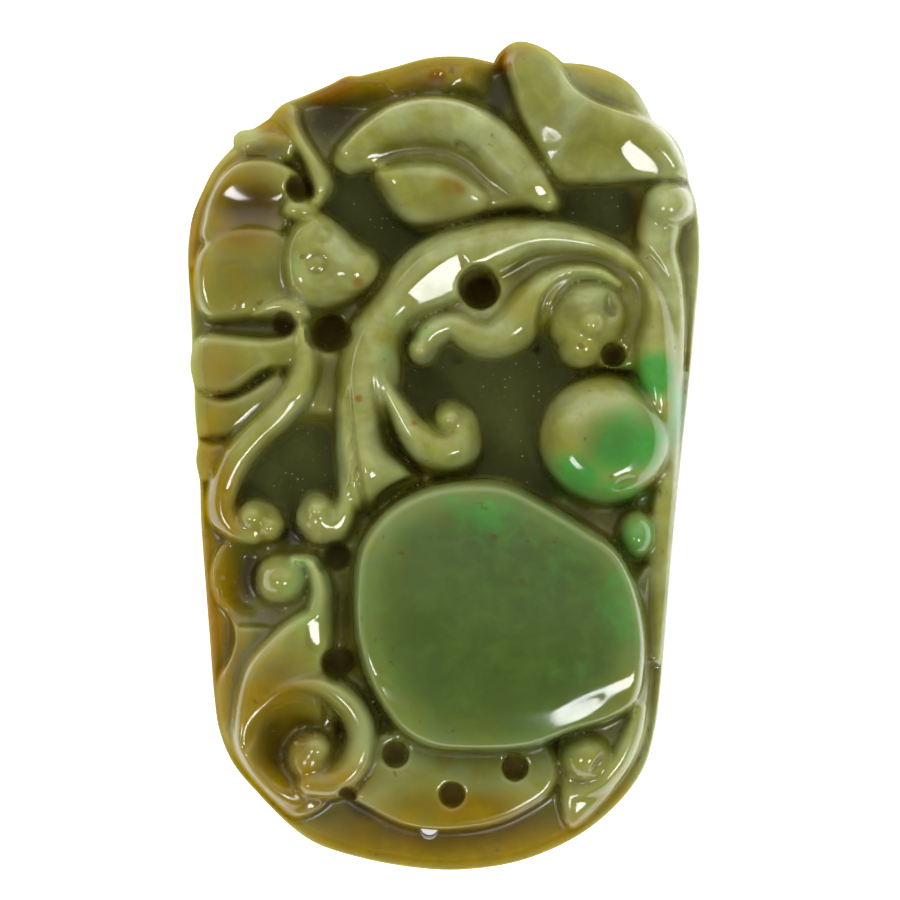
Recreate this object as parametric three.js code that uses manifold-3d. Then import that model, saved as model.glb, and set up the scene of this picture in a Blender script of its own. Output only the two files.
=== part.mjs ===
/**
 * A jade carving: one flat, tapering piece of stone that lies on its back, carved on its
 * upper side with a bat, leaves, a curling stem, a cloud scroll and two plain discs, and
 * bored through near its narrow end for a cord.
 *
 * Millimetres, +Z up. The back lies in z = 0, the long side runs along Y, and the origin
 * is in the middle of the back. A low slab is hollowed where the ground is deep. Each
 * carved form is a closed body of its own that stands in the slab: a rounded ridge along
 * a curve, a dome, or a plate with a rounded edge. All are joined into one solid, trimmed
 * to the slab's rounded outline, and then drilled and grooved.
 */
import * as THREE from "three";
import { mergeVertices } from "three/addons/utils/BufferGeometryUtils.js";
import Module from "manifold-3d";

// Driving sizes.
const LENGTH = 62.0; // foot of the slab to the tip of the upper leaf
const THICKNESS = 11.0; // back to the crown of the large disc
const BORE = 1.36; // diameter of the hole for the cord

// The plan and the heights below are drawn for a piece 62 mm long and 11 mm thick.
const PLAN = LENGTH / 62;
const RISE = THICKNESS / 11;

// Levels above the back.
const ROOT = 2.0; // bottom of the raised forms, inside the slab
const BELT = 2.8; // widest line of the rounded side
const FLOOR = 4.0; // ground of the deep recesses
const FOOT = 4.8; // where the rounding of a form starts
const LEDGE = 5.3; // plain border all round
const CLEAR = 12.0; // above everything

// How finely the curves are stepped.
const STEPS = 2; // straight steps between two points of a curve
const ARC = 4; // steps across a ridge
const SECTORS = 12; // steps round a dome
const CROWN = [0, 0.62, 0.93]; // rings round a dome or a plate, as parts of its height

// --- curves ---------------------------------------------------------------------------

/** One smooth (centripetal Catmull-Rom) stretch between rows b and c, without its end. */
function stretch(a, b, c, d, steps) {
  const gap = (p, q) => Math.max(Math.hypot(q[0] - p[0], q[1] - p[1]) ** 0.5, 1e-6);
  const t1 = gap(a, b);
  const t2 = t1 + gap(b, c);
  const t3 = t2 + gap(c, d);
  const mix = (p, q, s, e, t) => p.map((v, i) => v + ((q[i] - v) * (t - s)) / (e - s));
  const rows = [];
  for (let i = 0; i < steps; i++) {
    const t = t1 + ((t2 - t1) * i) / steps;
    const ab = mix(a, b, 0, t1, t);
    const bc = mix(b, c, t1, t2, t);
    const cd = mix(c, d, t2, t3, t);
    rows.push(mix(mix(ab, bc, 0, t2, t), mix(bc, cd, t1, t3, t), t1, t2, t));
  }
  return rows;
}

/** Smooth line through rows of numbers whose first two are x and y. */
function smooth(rows, closed = false, steps = STEPS) {
  const n = rows.length;
  const beyond = (p, q) => p.map((v, i) => 2 * v - q[i]);
  const row = (i) => {
    if (closed) return rows[(i + n) % n];
    if (i < 0) return beyond(rows[0], rows[1]);
    if (i >= n) return beyond(rows[n - 1], rows[n - 2]);
    return rows[i];
  };
  const line = [];
  const last = closed ? n : n - 1;
  for (let i = 0; i < last; i++) {
    line.push(...stretch(row(i - 1), row(i), row(i + 1), row(i + 2), steps));
  }
  if (!closed) line.push(rows[n - 1]);
  return line;
}

// --- bodies -----------------------------------------------------------------------------

const wasm = await Module();
wasm.setup();

/** Closed solid from a geometry whose faces share corners by position alone. */
function solidOf(geometry) {
  const bare = geometry.clone();
  bare.deleteAttribute("normal");
  bare.deleteAttribute("uv");
  const merged = mergeVertices(bare, 1e-4);
  const corners = merged.index.array;
  const kept = [];
  for (let i = 0; i < corners.length; i += 3) {
    const [a, b, c] = corners.slice(i, i + 3);
    if (a !== b && b !== c && c !== a) kept.push(a, b, c);
  }
  return new wasm.Manifold(new wasm.Mesh({
    numProp: 3,
    vertProperties: merged.attributes.position.array,
    triVerts: Uint32Array.from(kept),
  }));
}

/** Closed skin over rings of equally many points, each end filled by a flat cap. */
function skin(rings) {
  const corners = [];
  const n = rings[0].length;
  for (let k = 0; k + 1 < rings.length; k++) {
    for (let i = 0; i < n; i++) {
      const j = (i + 1) % n;
      corners.push(rings[k][i], rings[k][j], rings[k + 1][j]);
      corners.push(rings[k][i], rings[k + 1][j], rings[k + 1][i]);
    }
  }
  return corners;
}

function geometryOf(corners) {
  const geometry = new THREE.BufferGeometry();
  geometry.setAttribute("position", new THREE.Float32BufferAttribute(corners.flat(), 3));
  return geometry;
}

/** A rounded ridge along rows of x, y, half width, crest, with round ends. */
function ridge(rows, { foot = FOOT, power = 2 } = {}) {
  const line = smooth(rows);
  const last = line.length - 1;
  const sections = line.map(([x, y, width, crest], i) => {
    const before = line[Math.max(i - 1, 0)];
    const after = line[Math.min(i + 1, last)];
    const run = Math.hypot(after[0] - before[0], after[1] - before[1]);
    const along = [(after[0] - before[0]) / run, (after[1] - before[1]) / run];
    return { x, y, width, crest, along };
  });
  const END = [0.5, 0.85];
  const capped = (section, way) => END.map((u) => ({
    ...section,
    x: section.x + way * u * section.width * section.along[0],
    y: section.y + way * u * section.width * section.along[1],
    width: section.width * Math.sqrt(1 - u * u),
    crest: foot + (section.crest - foot) * Math.sqrt(1 - u ** power),
  }));
  const all = [
    ...capped(sections[0], -1).reverse(), ...sections, ...capped(sections[last], 1),
  ];
  const rings = all.map(({ x, y, width, crest, along }) => {
    const ring = [];
    const put = (u, z) => ring.push([x - along[1] * width * u, y + along[0] * width * u, z]);
    put(-1, ROOT);
    put(1, ROOT);
    for (let i = 0; i <= ARC; i++) {
      const u = Math.cos((Math.PI * i) / ARC);
      put(u, foot + (crest - foot) * Math.sqrt(Math.max(1 - Math.abs(u) ** power, 0)));
    }
    return ring;
  });
  const corners = skin(rings);
  const first = rings[0];
  const end = rings[rings.length - 1];
  for (let i = 1; i + 1 < first.length; i++) {
    corners.push(first[0], first[i + 1], first[i]);
    corners.push(end[0], end[i], end[i + 1]);
  }
  return solidOf(geometryOf(corners));
}

/** A dome with radii rx and ry, turned by some degrees. */
function dome(x, y, rx, ry, crest, { foot = FOOT, power = 2, turn = 0 } = {}) {
  const rings = CROWN.map((part) => [(1 - part * part) ** (1 / power),
    foot + (crest - foot) * part]);
  const profile = [[0, ROOT], [1, ROOT], ...rings, [0, crest]];
  const lathe = new THREE.LatheGeometry(profile.map((p) => new THREE.Vector2(...p)), SECTORS);
  lathe.rotateX(Math.PI / 2);
  lathe.scale(rx, ry, 1);
  lathe.rotateZ(THREE.MathUtils.degToRad(turn));
  lathe.translate(x, y, 0);
  return solidOf(lathe);
}

/**
 * A crowned plate inside a closed outline, which has to be seen whole from its middle:
 * its height falls from the crown to the foot as the outline is scaled up from nothing.
 */
function plate(rows, top, { foot = FOOT, power = 4, middle } = {}) {
  const loop = smooth(rows, true);
  if (THREE.ShapeUtils.area(loop.map(([x, y]) => ({ x, y }))) < 0) loop.reverse();
  const mean = (axis) => loop.reduce((sum, p) => sum + p[axis], 0) / loop.length;
  const [mx, my] = middle ?? [mean(0), mean(1)];
  const rings = [loop.map(([x, y]) => [x, y, ROOT])];
  for (const part of CROWN) {
    const scale = (1 - part * part) ** (1 / power);
    const z = foot + (top - foot) * part;
    rings.push(loop.map(([x, y]) => [mx + (x - mx) * scale, my + (y - my) * scale, z]));
  }
  const corners = skin(rings);
  const last = rings[rings.length - 1];
  for (let i = 0; i < loop.length; i++) {
    const j = (i + 1) % loop.length;
    corners.push(rings[0][j], rings[0][i], [mx, my, ROOT]);
    corners.push(last[i], last[j], [mx, my, top]);
  }
  return solidOf(geometryOf(corners));
}

/** An upright-walled basin, to be cut out of the slab down to a floor. */
function basin(rows, floor) {
  const shape = new THREE.Shape(smooth(rows, true).map(([x, y]) => new THREE.Vector2(x, y)));
  const geometry = new THREE.ExtrudeGeometry(shape, {
    depth: CLEAR - floor,
    bevelEnabled: false,
  });
  geometry.translate(0, 0, floor);
  return solidOf(geometry);
}

/** A round-bottomed drilled pit of radius r down to a floor. */
function pit(x, y, r, floor) {
  const profile = [[0, floor], [r, floor + 0.6], [r, CLEAR], [0, CLEAR]];
  const lathe = new THREE.LatheGeometry(profile.map((p) => new THREE.Vector2(...p)), 8);
  lathe.rotateX(Math.PI / 2);
  lathe.translate(x, y, 0);
  return solidOf(lathe);
}

/** A V groove along rows of x, y, half width, surface height. */
function chisel(rows, depth) {
  const line = smooth(rows);
  const last = line.length - 1;
  const above = 2;
  const rings = line.map(([x, y, width, surface], i) => {
    const before = line[Math.max(i - 1, 0)];
    const after = line[Math.min(i + 1, last)];
    const run = Math.hypot(after[0] - before[0], after[1] - before[1]);
    const across = [-(after[1] - before[1]) / run, (after[0] - before[0]) / run];
    const reach = (width * (depth + above)) / depth;
    const at = (u, z) => [x + across[0] * u, y + across[1] * u, z];
    return [at(0, surface - depth), at(reach, surface + above), at(-reach, surface + above)];
  });
  const end = rings[last];
  const corners = skin(rings);
  corners.push(rings[0][0], rings[0][2], rings[0][1], end[0], end[1], end[2]);
  return solidOf(geometryOf(corners));
}

/** The slab up to a height: its outline drawn in by SIDE, closed at both ends. */
function slab(outline, top) {
  const rows = SIDE.filter(([z]) => z < top);
  const [z1, in1] = rows[rows.length - 1];
  const [z2, in2] = SIDE[Math.min(rows.length, SIDE.length - 1)];
  rows.push([top, z2 > z1 ? in1 + ((in2 - in1) * (top - z1)) / (z2 - z1) : in1]);
  const rings = rows.map(([z, inset]) => outline.map(([x, y]) =>
    [x * (1 - inset / HALF_WIDTH), y * (1 - inset / HALF_LENGTH), z]));
  const corners = skin(rings);
  const flat = outline.map(([x, y]) => new THREE.Vector2(x, y));
  const last = rings[rings.length - 1];
  for (const [a, b, c] of THREE.ShapeUtils.triangulateShape(flat, [])) {
    corners.push(rings[0][c], rings[0][b], rings[0][a]);
    corners.push(last[a], last[b], last[c]);
  }
  return solidOf(geometryOf(corners));
}

/** Upright hole for the cord, bored from the back and open under the lens leaf's edge. */
function cordHole() {
  const top = 6.6;
  const below = 1;
  const bore = new THREE.CylinderGeometry(BORE / 2, BORE / 2, top + below, 20);
  bore.rotateX(Math.PI / 2);
  bore.translate(-1.1, -28.0, (top - below) / 2);
  return solidOf(bore);
}

// --- the slab --------------------------------------------------------------------------------

const HALF_WIDTH = 19;
const HALF_LENGTH = 30;

// Smooth stretches that meet in the notches between the forms, anticlockwise from the bat.
const OUTLINE = [
  [[-15.8, 23.0], [-17.4, 21.1], [-18.8, 18.0], [-19.15, 14.0], [-18.85, 8.0]],
  [[-18.85, 8.0], [-18.95, 6.6], [-18.6, 3.2], [-18.4, 0.8]],
  [[-18.4, 0.8], [-18.5, -0.6], [-18.25, -3.0], [-17.55, -13.5], [-16.8, -20.6],
    [-13.8, -25.6], [-9.6, -29.05], [-4.0, -30.5], [1.5, -31.0], [8.2, -29.4], [13.4, -25.6],
    [15.8, -20.6], [16.7, -12.0], [17.8, 0.0], [19.15, 14.0], [18.4, 20.4], [15.5, 25.0]],
  [[15.5, 25.0], [14.3, 27.4], [11.0, 29.15], [8.8, 29.35]],
  [[8.8, 29.35], [7.6, 30.35], [5.8, 31.0], [3.75, 29.45]],
  [[3.75, 29.45], [1.6, 29.8], [-4.0, 28.95], [-6.6, 28.4]],
  [[-6.6, 28.4], [-9.2, 27.3], [-12.0, 26.3], [-13.0, 25.2]],
  [[-13.0, 25.2], [-15.0, 24.35], [-15.8, 23.0]],
];

// Side of the slab, from the back up: height, and how far it stands in from the outline.
const SIDE = [
  [0.0, 1.2], [0.9, 0.25], [BELT, 0.0], [LEDGE - 0.5, 0.3], [8.0, 1.2], [CLEAR, 4.0],
];

/** Deep ground between the forms. */
function basins() {
  return [
    basin([[-4.0, 5.0], [-2.5, 10.0], [2.0, 14.2], [8.0, 15.3], [13.5, 12.0],
      [13.0, 5.0], [9.0, -3.5], [0.0, -4.0], [-4.0, 0.0]], FLOOR),
    basin([[-9.2, 18.8], [-8.6, 20.8], [-5.5, 21.0], [-2.5, 18.5], [3.0, 18.0],
      [7.0, 18.2], [4.0, 16.0], [-2.0, 14.5], [-7.2, 8.5], [-10.0, 9.0], [-6.5, 13.0],
      [-8.0, 17.0]], FLOOR),
    basin([[7.4, 20.8], [15.2, 21.0], [15.2, 15.5], [11.0, 15.5], [8.0, 17.2]], 4.35),
    basin([[-15.8, -1.5], [-13.5, 1.0], [-11.0, 2.8], [-8.2, 2.5], [-7.3, -3.0],
      [-9.0, -6.8], [-12.0, -6.5], [-16.0, -4.2]], FLOOR),
    basin([[-10.9, 25.3], [-8.5, 26.3], [-5.4, 25.2], [-7.0, 23.2], [-8.3, 21.5],
      [-9.4, 22.0]], 4.15),
    basin([[2.2, 26.6], [4.0, 28.8], [5.4, 27.5], [6.5, 24.0], [8.4, 20.5],
      [7.0, 20.6], [4.0, 25.4]], 4.4),
    basin([[-7.5, -5.0], [-7.6, -10.0], [-6.4, -17.4], [-9.0, -16.0], [-8.6, -10.0],
      [-10.0, -6.8]], 4.5),
  ];
}

// --- the carving ------------------------------------------------------------------------------

/** The low layers and the raised upper border. */
function layers() {
  return [
    ridge([[-9.4, 26.2, 1.0, 6.25], [-6.5, 27.4, 1.1, 6.45], [-3.0, 28.1, 1.2, 6.5],
      [0.5, 28.6, 1.2, 6.5], [3.4, 28.5, 1.0, 6.35]]),
    plate([[-12.0, -6.0], [-16.3, -6.5], [-17.4, -9.0], [-16.1, -11.9], [-15.8, -14.2],
      [-16.9, -17.2], [-16.4, -20.8], [-13.2, -25.0], [-10.0, -25.5], [-10.0, -15.0]], 6.75,
    { power: 16 }),
    plate([[15.1, -8.0], [15.4, -15.0], [14.8, -20.6], [11.6, -25.6], [9.0, -23.0],
      [11.0, -12.0]], 7.25, { power: 12 }),
  ];
}

/** The bat's spread wing: scalloped lobes behind two arms. */
function wing() {
  return [
    plate([[-16.0, 22.9], [-15.4, 24.2], [-13.0, 25.3], [-11.2, 24.6], [-11.4, 21.8],
      [-13.5, 22.2]], 6.9),
    dome(-15.0, 23.6, 1.1, 1.1, 7.25),
    plate([[-18.0, 16.2], [-17.5, 19.0], [-15.8, 21.7], [-13.4, 22.25], [-10.8, 21.2],
      [-10.2, 19.0], [-12.5, 16.2]], 7.55),
    plate([[-11.6, 16.8], [-14.5, 17.35], [-17.2, 16.5], [-18.6, 13.8], [-18.2, 10.8],
      [-16.0, 9.8], [-12.0, 10.3]], 7.95, { power: 3 }),
    plate([[-10.0, 10.0], [-13.0, 9.0], [-17.0, 9.1], [-18.95, 6.8], [-17.9, 4.8],
      [-15.0, 5.0], [-12.9, 6.6], [-10.4, 6.5]], 7.9),
    plate([[-18.75, 4.4], [-18.2, 1.5], [-16.0, 1.5], [-11.5, 4.6], [-12.5, 6.2],
      [-14.8, 4.8]], 7.5),
    plate([[-18.5, 1.1], [-18.3, -1.6], [-17.2, -1.8], [-15.4, 1.3]], 6.9),
    ridge([[-12.3, 26.3, 1.2, 6.6], [-11.5, 24.8, 1.15, 7.55], [-10.4, 22.8, 0.9, 8.2],
      [-9.5, 21.2, 0.75, 8.45], [-9.05, 19.6, 0.7, 8.55], [-8.9, 18.4, 0.6, 8.55]]),
    ridge([[-10.6, 10.4, 0.6, 8.45], [-10.1, 7.0, 1.0, 8.8], [-10.5, 5.1, 1.15, 8.8],
      [-11.9, 3.2, 1.2, 8.55], [-13.8, 1.5, 1.15, 8.3], [-15.5, -0.4, 1.1, 8.05],
      [-16.4, -2.6, 1.1, 7.8], [-16.3, -4.5, 1.0, 7.65], [-15.3, -5.9, 0.85, 7.55],
      [-13.9, -6.1, 0.75, 7.5]], { power: 2.4 }),
    dome(-13.8, -5.0, 2.1, 1.75, 7.55),
    dome(-14.3, -4.7, 1.2, 1.2, 8.2, { foot: 6.1 }),
    dome(-12.9, -5.2, 1.15, 1.15, 8.15, { foot: 6.1 }),
  ];
}

/** The bat's head, with its shoulder, muzzle and ear. */
function head() {
  return [
    plate([[-14.3, 10.4], [-13.0, 11.6], [-11.2, 12.1], [-9.8, 10.4], [-12.0, 10.0]], 8.6,
      { foot: 6.9 }),
    plate([[-12.4, 14.2], [-11.6, 17.0], [-9.2, 18.3], [-7.3, 17.3], [-5.0, 14.2],
      [-5.4, 12.6], [-7.0, 11.5], [-9.2, 11.0], [-11.7, 12.0]], 9.5, { foot: 5.45, power: 3 }),
    plate([[-12.1, 18.1], [-11.5, 19.2], [-10.1, 19.3], [-8.8, 18.5], [-10.6, 17.1]], 9.1,
      { foot: 6.5 }),
    dome(-7.1, 13.8, 1.9, 1.7, 9.9, { foot: 8.2 }),
  ];
}

/** The folded leaf above the arch, the boot-shaped leaf beside it, and the lobe behind. */
function leaves() {
  return [
    plate([[-8.5, 21.9], [-6.2, 24.5], [-2.2, 26.45], [2.6, 26.1], [6.0, 23.0],
      [8.3, 19.0], [8.5, 17.9], [3.5, 17.7], [-0.5, 17.15], [-4.0, 18.5], [-6.3, 20.9]], 8.2,
    { power: 6 }),
    ridge([[-7.4, 22.3, 0.9, 8.4], [-6.0, 23.2, 1.4, 8.8], [-3.4, 24.4, 1.6, 9.25],
      [-0.2, 24.7, 1.75, 9.45], [2.8, 23.6, 1.9, 9.45], [5.0, 21.7, 1.9, 9.25],
      [6.6, 19.9, 1.5, 8.95], [7.9, 18.6, 0.7, 8.55]], { foot: 6.9 }),
    dome(-0.9, 19.7, 4.3, 2.2, 9.2, { foot: 6.5, power: 2.4, turn: -6 }),
    plate([[8.6, 29.4], [12.0, 28.9], [14.4, 27.2], [15.6, 24.6], [12.0, 24.6],
      [9.0, 27.0]], 7.4),
    plate([[3.9, 29.6], [5.8, 30.95], [8.8, 29.4], [10.6, 27.1], [14.0, 25.6],
      [17.3, 23.4], [18.0, 20.8], [12.5, 20.5], [8.2, 20.2], [6.3, 23.4], [5.0, 27.0]], 8.2,
    { power: 6, middle: [9.4, 24.4] }),
    ridge([[5.9, 29.4, 1.4, 7.25], [6.8, 27.6, 1.7, 8.4], [7.7, 25.6, 1.9, 9.05],
      [9.2, 23.6, 2.3, 9.35], [11.6, 22.9, 2.3, 9.45], [16.2, 22.0, 1.5, 8.8]], { foot: 6.9 }),
  ];
}

/** The arch of the stem with its curled foot and hook, and the bud and strip outside it. */
function arch() {
  return [
    ridge([[16.6, 18.7, 1.7, 8.55], [15.8, 15.2, 1.5, 7.95], [16.9, 10.5, 1.1, 7.75],
      [16.9, 5.0, 0.9, 7.3], [16.5, -2.0, 0.9, 6.85], [16.0, -6.0, 1.1, 6.75],
      [15.9, -10.0, 0.9, 6.6], [15.7, -15.0, 0.6, 6.45]]),
    dome(16.5, 18.7, 1.5, 1.5, 8.85, { foot: 6.5 }),
    ridge([[-4.4, -3.2, 2.4, 8.4], [-5.9, 3.0, 2.5, 9.6], [-4.6, 9.8, 2.3, 10.0],
      [-2.4, 12.9, 2.35, 10.15], [0.8, 15.0, 2.25, 10.15], [4.6, 16.1, 1.85, 10.0],
      [8.4, 15.9, 1.95, 9.85], [11.6, 14.8, 2.1, 9.65], [14.1, 12.6, 2.3, 9.5],
      [15.2, 9.3, 2.3, 9.2], [15.3, 3.2, 2.0, 8.4]], { power: 2.5 }),
    ridge([[-7.4, 5.0, 0.9, 9.05], [-7.3, 1.0, 0.95, 8.85], [-7.2, -3.8, 1.2, 8.55],
      [-8.0, -5.1, 1.3, 8.45], [-9.2, -5.4, 1.3, 8.3]]),
    dome(-9.2, -4.5, 1.85, 1.85, 8.6),
    dome(-9.5, -4.0, 1.05, 1.05, 9.05, { foot: 6.9 }),
    ridge([[-4.0, 4.6, 0.9, 9.35], [-3.0, 2.4, 1.3, 9.2], [-1.4, 0.6, 1.6, 9.05],
      [0.4, 0.1, 1.4, 8.95], [1.5, 1.2, 1.2, 8.85], [1.5, 2.4, 1.15, 8.85]]),
    dome(0.55, 2.7, 1.15, 1.15, 9.25, { foot: 6.1 }),
  ];
}

/** The cloud scroll under the arch. */
function cloud() {
  return [
    ridge([[-1.6, 8.2, 1.1, 8.8], [-0.2, 9.2, 1.6, 8.95], [3.4, 8.7, 1.6, 8.95],
      [5.2, 9.8, 1.8, 9.1], [6.7, 11.6, 1.8, 9.2], [8.3, 12.7, 1.5, 9.25],
      [10.2, 13.2, 1.0, 9.25], [13.4, 12.1, 0.5, 9.05]]),
    dome(-1.7, 8.1, 1.05, 1.05, 9.25, { foot: 6.9 }),
    dome(10.2, 9.8, 2.7, 3.3, 9.5),
    dome(11.0, 9.75, 1.3, 1.3, 10.1, { foot: 7.75 }),
  ];
}

/** The two plain discs, the small bud beside them and the lens-shaped leaf below. */
function discs() {
  return [
    dome(14.3, -6.1, 1.4, 1.9, 8.4),
    dome(12.0, 0.7, 4.9, 4.75, 10.15, { power: 4 }),
    plate([[-6.9, -10.0], [-6.4, -6.6], [-4.7, -4.1], [-2.0, -2.4], [1.0, -1.7],
      [4.5, -1.8], [7.5, -3.2], [12.8, -6.6], [15.0, -12.2], [14.4, -18.6], [9.5, -20.6],
      [6.5, -21.9], [-1.0, -21.9], [-5.6, -17.3]], 11.0, { power: 9 }),
    ridge([[14.4, -18.8, 0.8, 8.4], [13.9, -20.6, 1.0, 8.4], [11.6, -24.2, 1.1, 7.9],
      [10.0, -25.2, 0.8, 7.4]]),
    dome(10.6, -22.4, 2.2, 2.2, 9.05, { foot: 5.3 }),
    plate([[-7.0, -25.4], [-5.0, -26.7], [0.0, -28.05], [6.0, -26.7], [8.7, -23.2],
      [7.5, -21.0], [-5.0, -20.5]], 7.4, { power: 10 }),
  ];
}

/** The S-shaped scroll at the lower left, and the volute it ends in. */
function scroll() {
  const volute = [];
  const turns = 8;
  for (let i = 0; i <= turns; i++) {
    const t = i / turns;
    const angle = THREE.MathUtils.degToRad(150 - 255 * t);
    const reach = 4.0 - 1.3 * t * t;
    volute.push([-9.8 + reach * Math.cos(angle), -21.1 + reach * Math.sin(angle),
      0.7 + 0.75 * t, 8.3 + 0.65 * Math.sin(Math.PI * t ** 0.7)]);
  }
  return [
    ridge([[-12.6, -7.3, 0.5, 8.2], [-10.6, -7.2, 0.8, 8.55], [-9.1, -8.7, 0.8, 8.85],
      [-8.9, -10.6, 0.95, 8.8], [-10.9, -14.4, 1.8, 8.55], [-12.6, -16.2, 2.2, 8.3],
      [-14.0, -18.2, 1.8, 8.15], [-14.9, -20.3, 1.0, 7.95], [-14.6, -22.5, 0.8, 7.75],
      [-11.6, -26.1, 0.6, 6.9]], { power: 2.2 }),
    dome(-11.7, -9.1, 2.3, 2.15, 9.05),
    ridge(volute),
    dome(-9.9, -22.6, 2.0, 2.0, 9.25, { foot: 6.1 }),
  ];
}

/** What is cut last: grooves along the folds, and drilled pits. */
function cuts() {
  const grooves = [
    chisel([[-6.0, 21.6, 0.3, 8.45], [-4.0, 22.1, 0.6, 8.55], [-1.0, 22.3, 0.7, 8.7],
      [1.8, 21.4, 0.6, 8.7], [4.5, 18.9, 0.3, 8.55]], 0.9),
    chisel([[-7.1, 5.6, 0.2, 9.35], [-7.0, 3.0, 0.4, 8.85], [-6.5, 0.0, 0.45, 8.8],
      [-6.0, -3.0, 0.45, 8.15]], 1.9),
    chisel([[-5.0, 7.0, 0.2, 9.85], [-4.8, 4.2, 0.35, 9.5], [-4.1, 2.0, 0.45, 9.1],
      [-3.0, 0.0, 0.5, 8.7], [-1.9, -1.6, 0.4, 7.9]], 2.0),
  ];
  const pits = [
    [-10.9, 19.9, 0.95, 6.25], [-12.0, 9.8, 0.8, 6.45], [-8.5, 9.2, 1.15, 3.7],
    [2.7, 12.2, 1.2, 3.7], [12.5, 7.6, 0.75, 5.8], [-8.0, -7.6, 0.9, 3.85],
    [-7.7, -15.5, 0.9, 3.85], [-0.5, 28.1, 0.8, 5.6], [-5.0, 25.9, 0.8, 4.8],
    [-3.5, -22.2, 0.85, 6.1], [0.5, -25.2, 0.85, 6.25], [5.4, -23.2, 0.85, 6.25],
  ];
  return [...grooves, ...pits.map((row) => pit(...row)), cordHole()];
}

// --- one solid -----------------------------------------------------------------------------

const outline = OUTLINE.flatMap((rows) => smooth(rows).slice(0, -1));
const join = (start, solids) => solids.reduce((whole, next) => whole.add(next), start);
const cut = (start, solids) => solids.reduce((whole, next) => whole.subtract(next), start);

const ground = cut(slab(outline, LEDGE), basins());
const forms = [layers(), wing(), head(), leaves(), arch(), cloud(), discs(), scroll()].flat();
const stone = cut(join(ground, forms).intersect(slab(outline, CLEAR)), cuts());

const { vertProperties, triVerts } = stone.getMesh();
const surface = new THREE.BufferGeometry();
surface.setAttribute("position", new THREE.BufferAttribute(vertProperties, 3));
surface.setIndex(new THREE.BufferAttribute(triVerts, 1));
surface.scale(PLAN, PLAN, RISE);

const jade = new THREE.MeshStandardMaterial({
  name: "jade",
  color: 0x8a8c58,
  roughness: 0.12,
  metalness: 0,
});
const carving = new THREE.Mesh(surface, jade);
carving.name = "jade_carving";

const part = new THREE.Group();
part.add(carving);

export default part;
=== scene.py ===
"""A jade carving that lies on its back, as a Blender scene made in metres.

The piece is one slab of olive and russet jade, carved in high relief and polished. Its
upper side is worked out as a height over the plan, in millimetres: rounded ridges, domes,
plates, basins, grooves and drilled pits are laid over a low slab and joined softly, as
polishing joins them. The height is then drawn as a fine mesh whose lines crowd towards
the steep walls, with a rounded side and a flat back below it.
"""

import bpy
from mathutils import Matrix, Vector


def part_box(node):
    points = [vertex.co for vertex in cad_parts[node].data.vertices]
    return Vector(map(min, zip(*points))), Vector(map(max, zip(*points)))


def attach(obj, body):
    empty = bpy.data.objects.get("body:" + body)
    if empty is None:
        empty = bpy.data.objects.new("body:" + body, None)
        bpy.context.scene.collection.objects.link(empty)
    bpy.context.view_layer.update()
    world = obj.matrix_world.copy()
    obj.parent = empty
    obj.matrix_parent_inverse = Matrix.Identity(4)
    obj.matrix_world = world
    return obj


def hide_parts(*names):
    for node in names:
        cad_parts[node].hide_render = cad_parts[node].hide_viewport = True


bl_info = {
    "name": "Jade carving",
    "version": (1, 0, 0),
    "blender": (4, 5, 0),
    "location": "3D View > Sidebar > Jade",
    "description": "Carves, polishes and lights one flat jade pendant",
    "category": "Add Mesh",
}

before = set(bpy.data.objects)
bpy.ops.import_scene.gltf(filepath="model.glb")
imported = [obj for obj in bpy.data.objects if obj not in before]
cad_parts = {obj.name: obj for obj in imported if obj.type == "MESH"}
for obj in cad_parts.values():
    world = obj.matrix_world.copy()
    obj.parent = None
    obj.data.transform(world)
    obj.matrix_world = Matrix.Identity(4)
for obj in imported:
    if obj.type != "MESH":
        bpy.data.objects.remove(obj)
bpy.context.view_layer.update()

import math

import bmesh
import bpy
import numpy as np
from mathutils import Vector

MM = 0.001
PIECE_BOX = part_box("jade_carving")
SIZE = PIECE_BOX[1] - PIECE_BOX[0]

# The rows below are drawn in millimetres for a piece of this length and thickness.
DRAWN_LENGTH = 62.0
DRAWN_THICKNESS = 11.0

# Levels above the back.
BELT = 2.8  # widest line of the rounded side
FLOOR = 4.0  # ground of the deep recesses
LEDGE = 5.3  # plain border all round
CEILING = 11.0  # nothing stands higher

WALL = 5.0  # steepness of the carved walls, rise over run
FILLET = 0.2  # how softly two forms meet
SPLITS = 6  # straight steps in a smooth line between one row and the next
NARROW = 0.03  # least half width of a groove

# The raster that the relief is worked out on, and the net of squares drawn from it.
RASTER_HALF = (20.0, 31.8)
RASTER_STEP = 0.08
NET_HALF = (19.6, 31.3)
NET_ROUNDS = 24  # how often the net is relaxed towards the steep walls
RIM = 0.25  # distance from the outline to the border of the net

# Drilled pits have a round bottom and a nearly upright wall.
PIT_BOWL = 0.6
PIT_WALL = 7
PIT_FILLET = 0.12
CORD_HOLE = (-1.1, -27.95)
CORD_HOLE_TOP = 6.4  # the drill stops above the border, inside the lens-shaped leaf

MERGED = 0.012  # points nearer than this become one
SLIVER = 0.004  # edges shorter than this are dropped

FLAT_SLOPE = 0.38  # tilt of the flats that the polishing wheel leaves
FALL_FILLET = 0.5  # how softly the top of a plate starts to fall


# --- curves -----------------------------------------------------------------------------------


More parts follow.
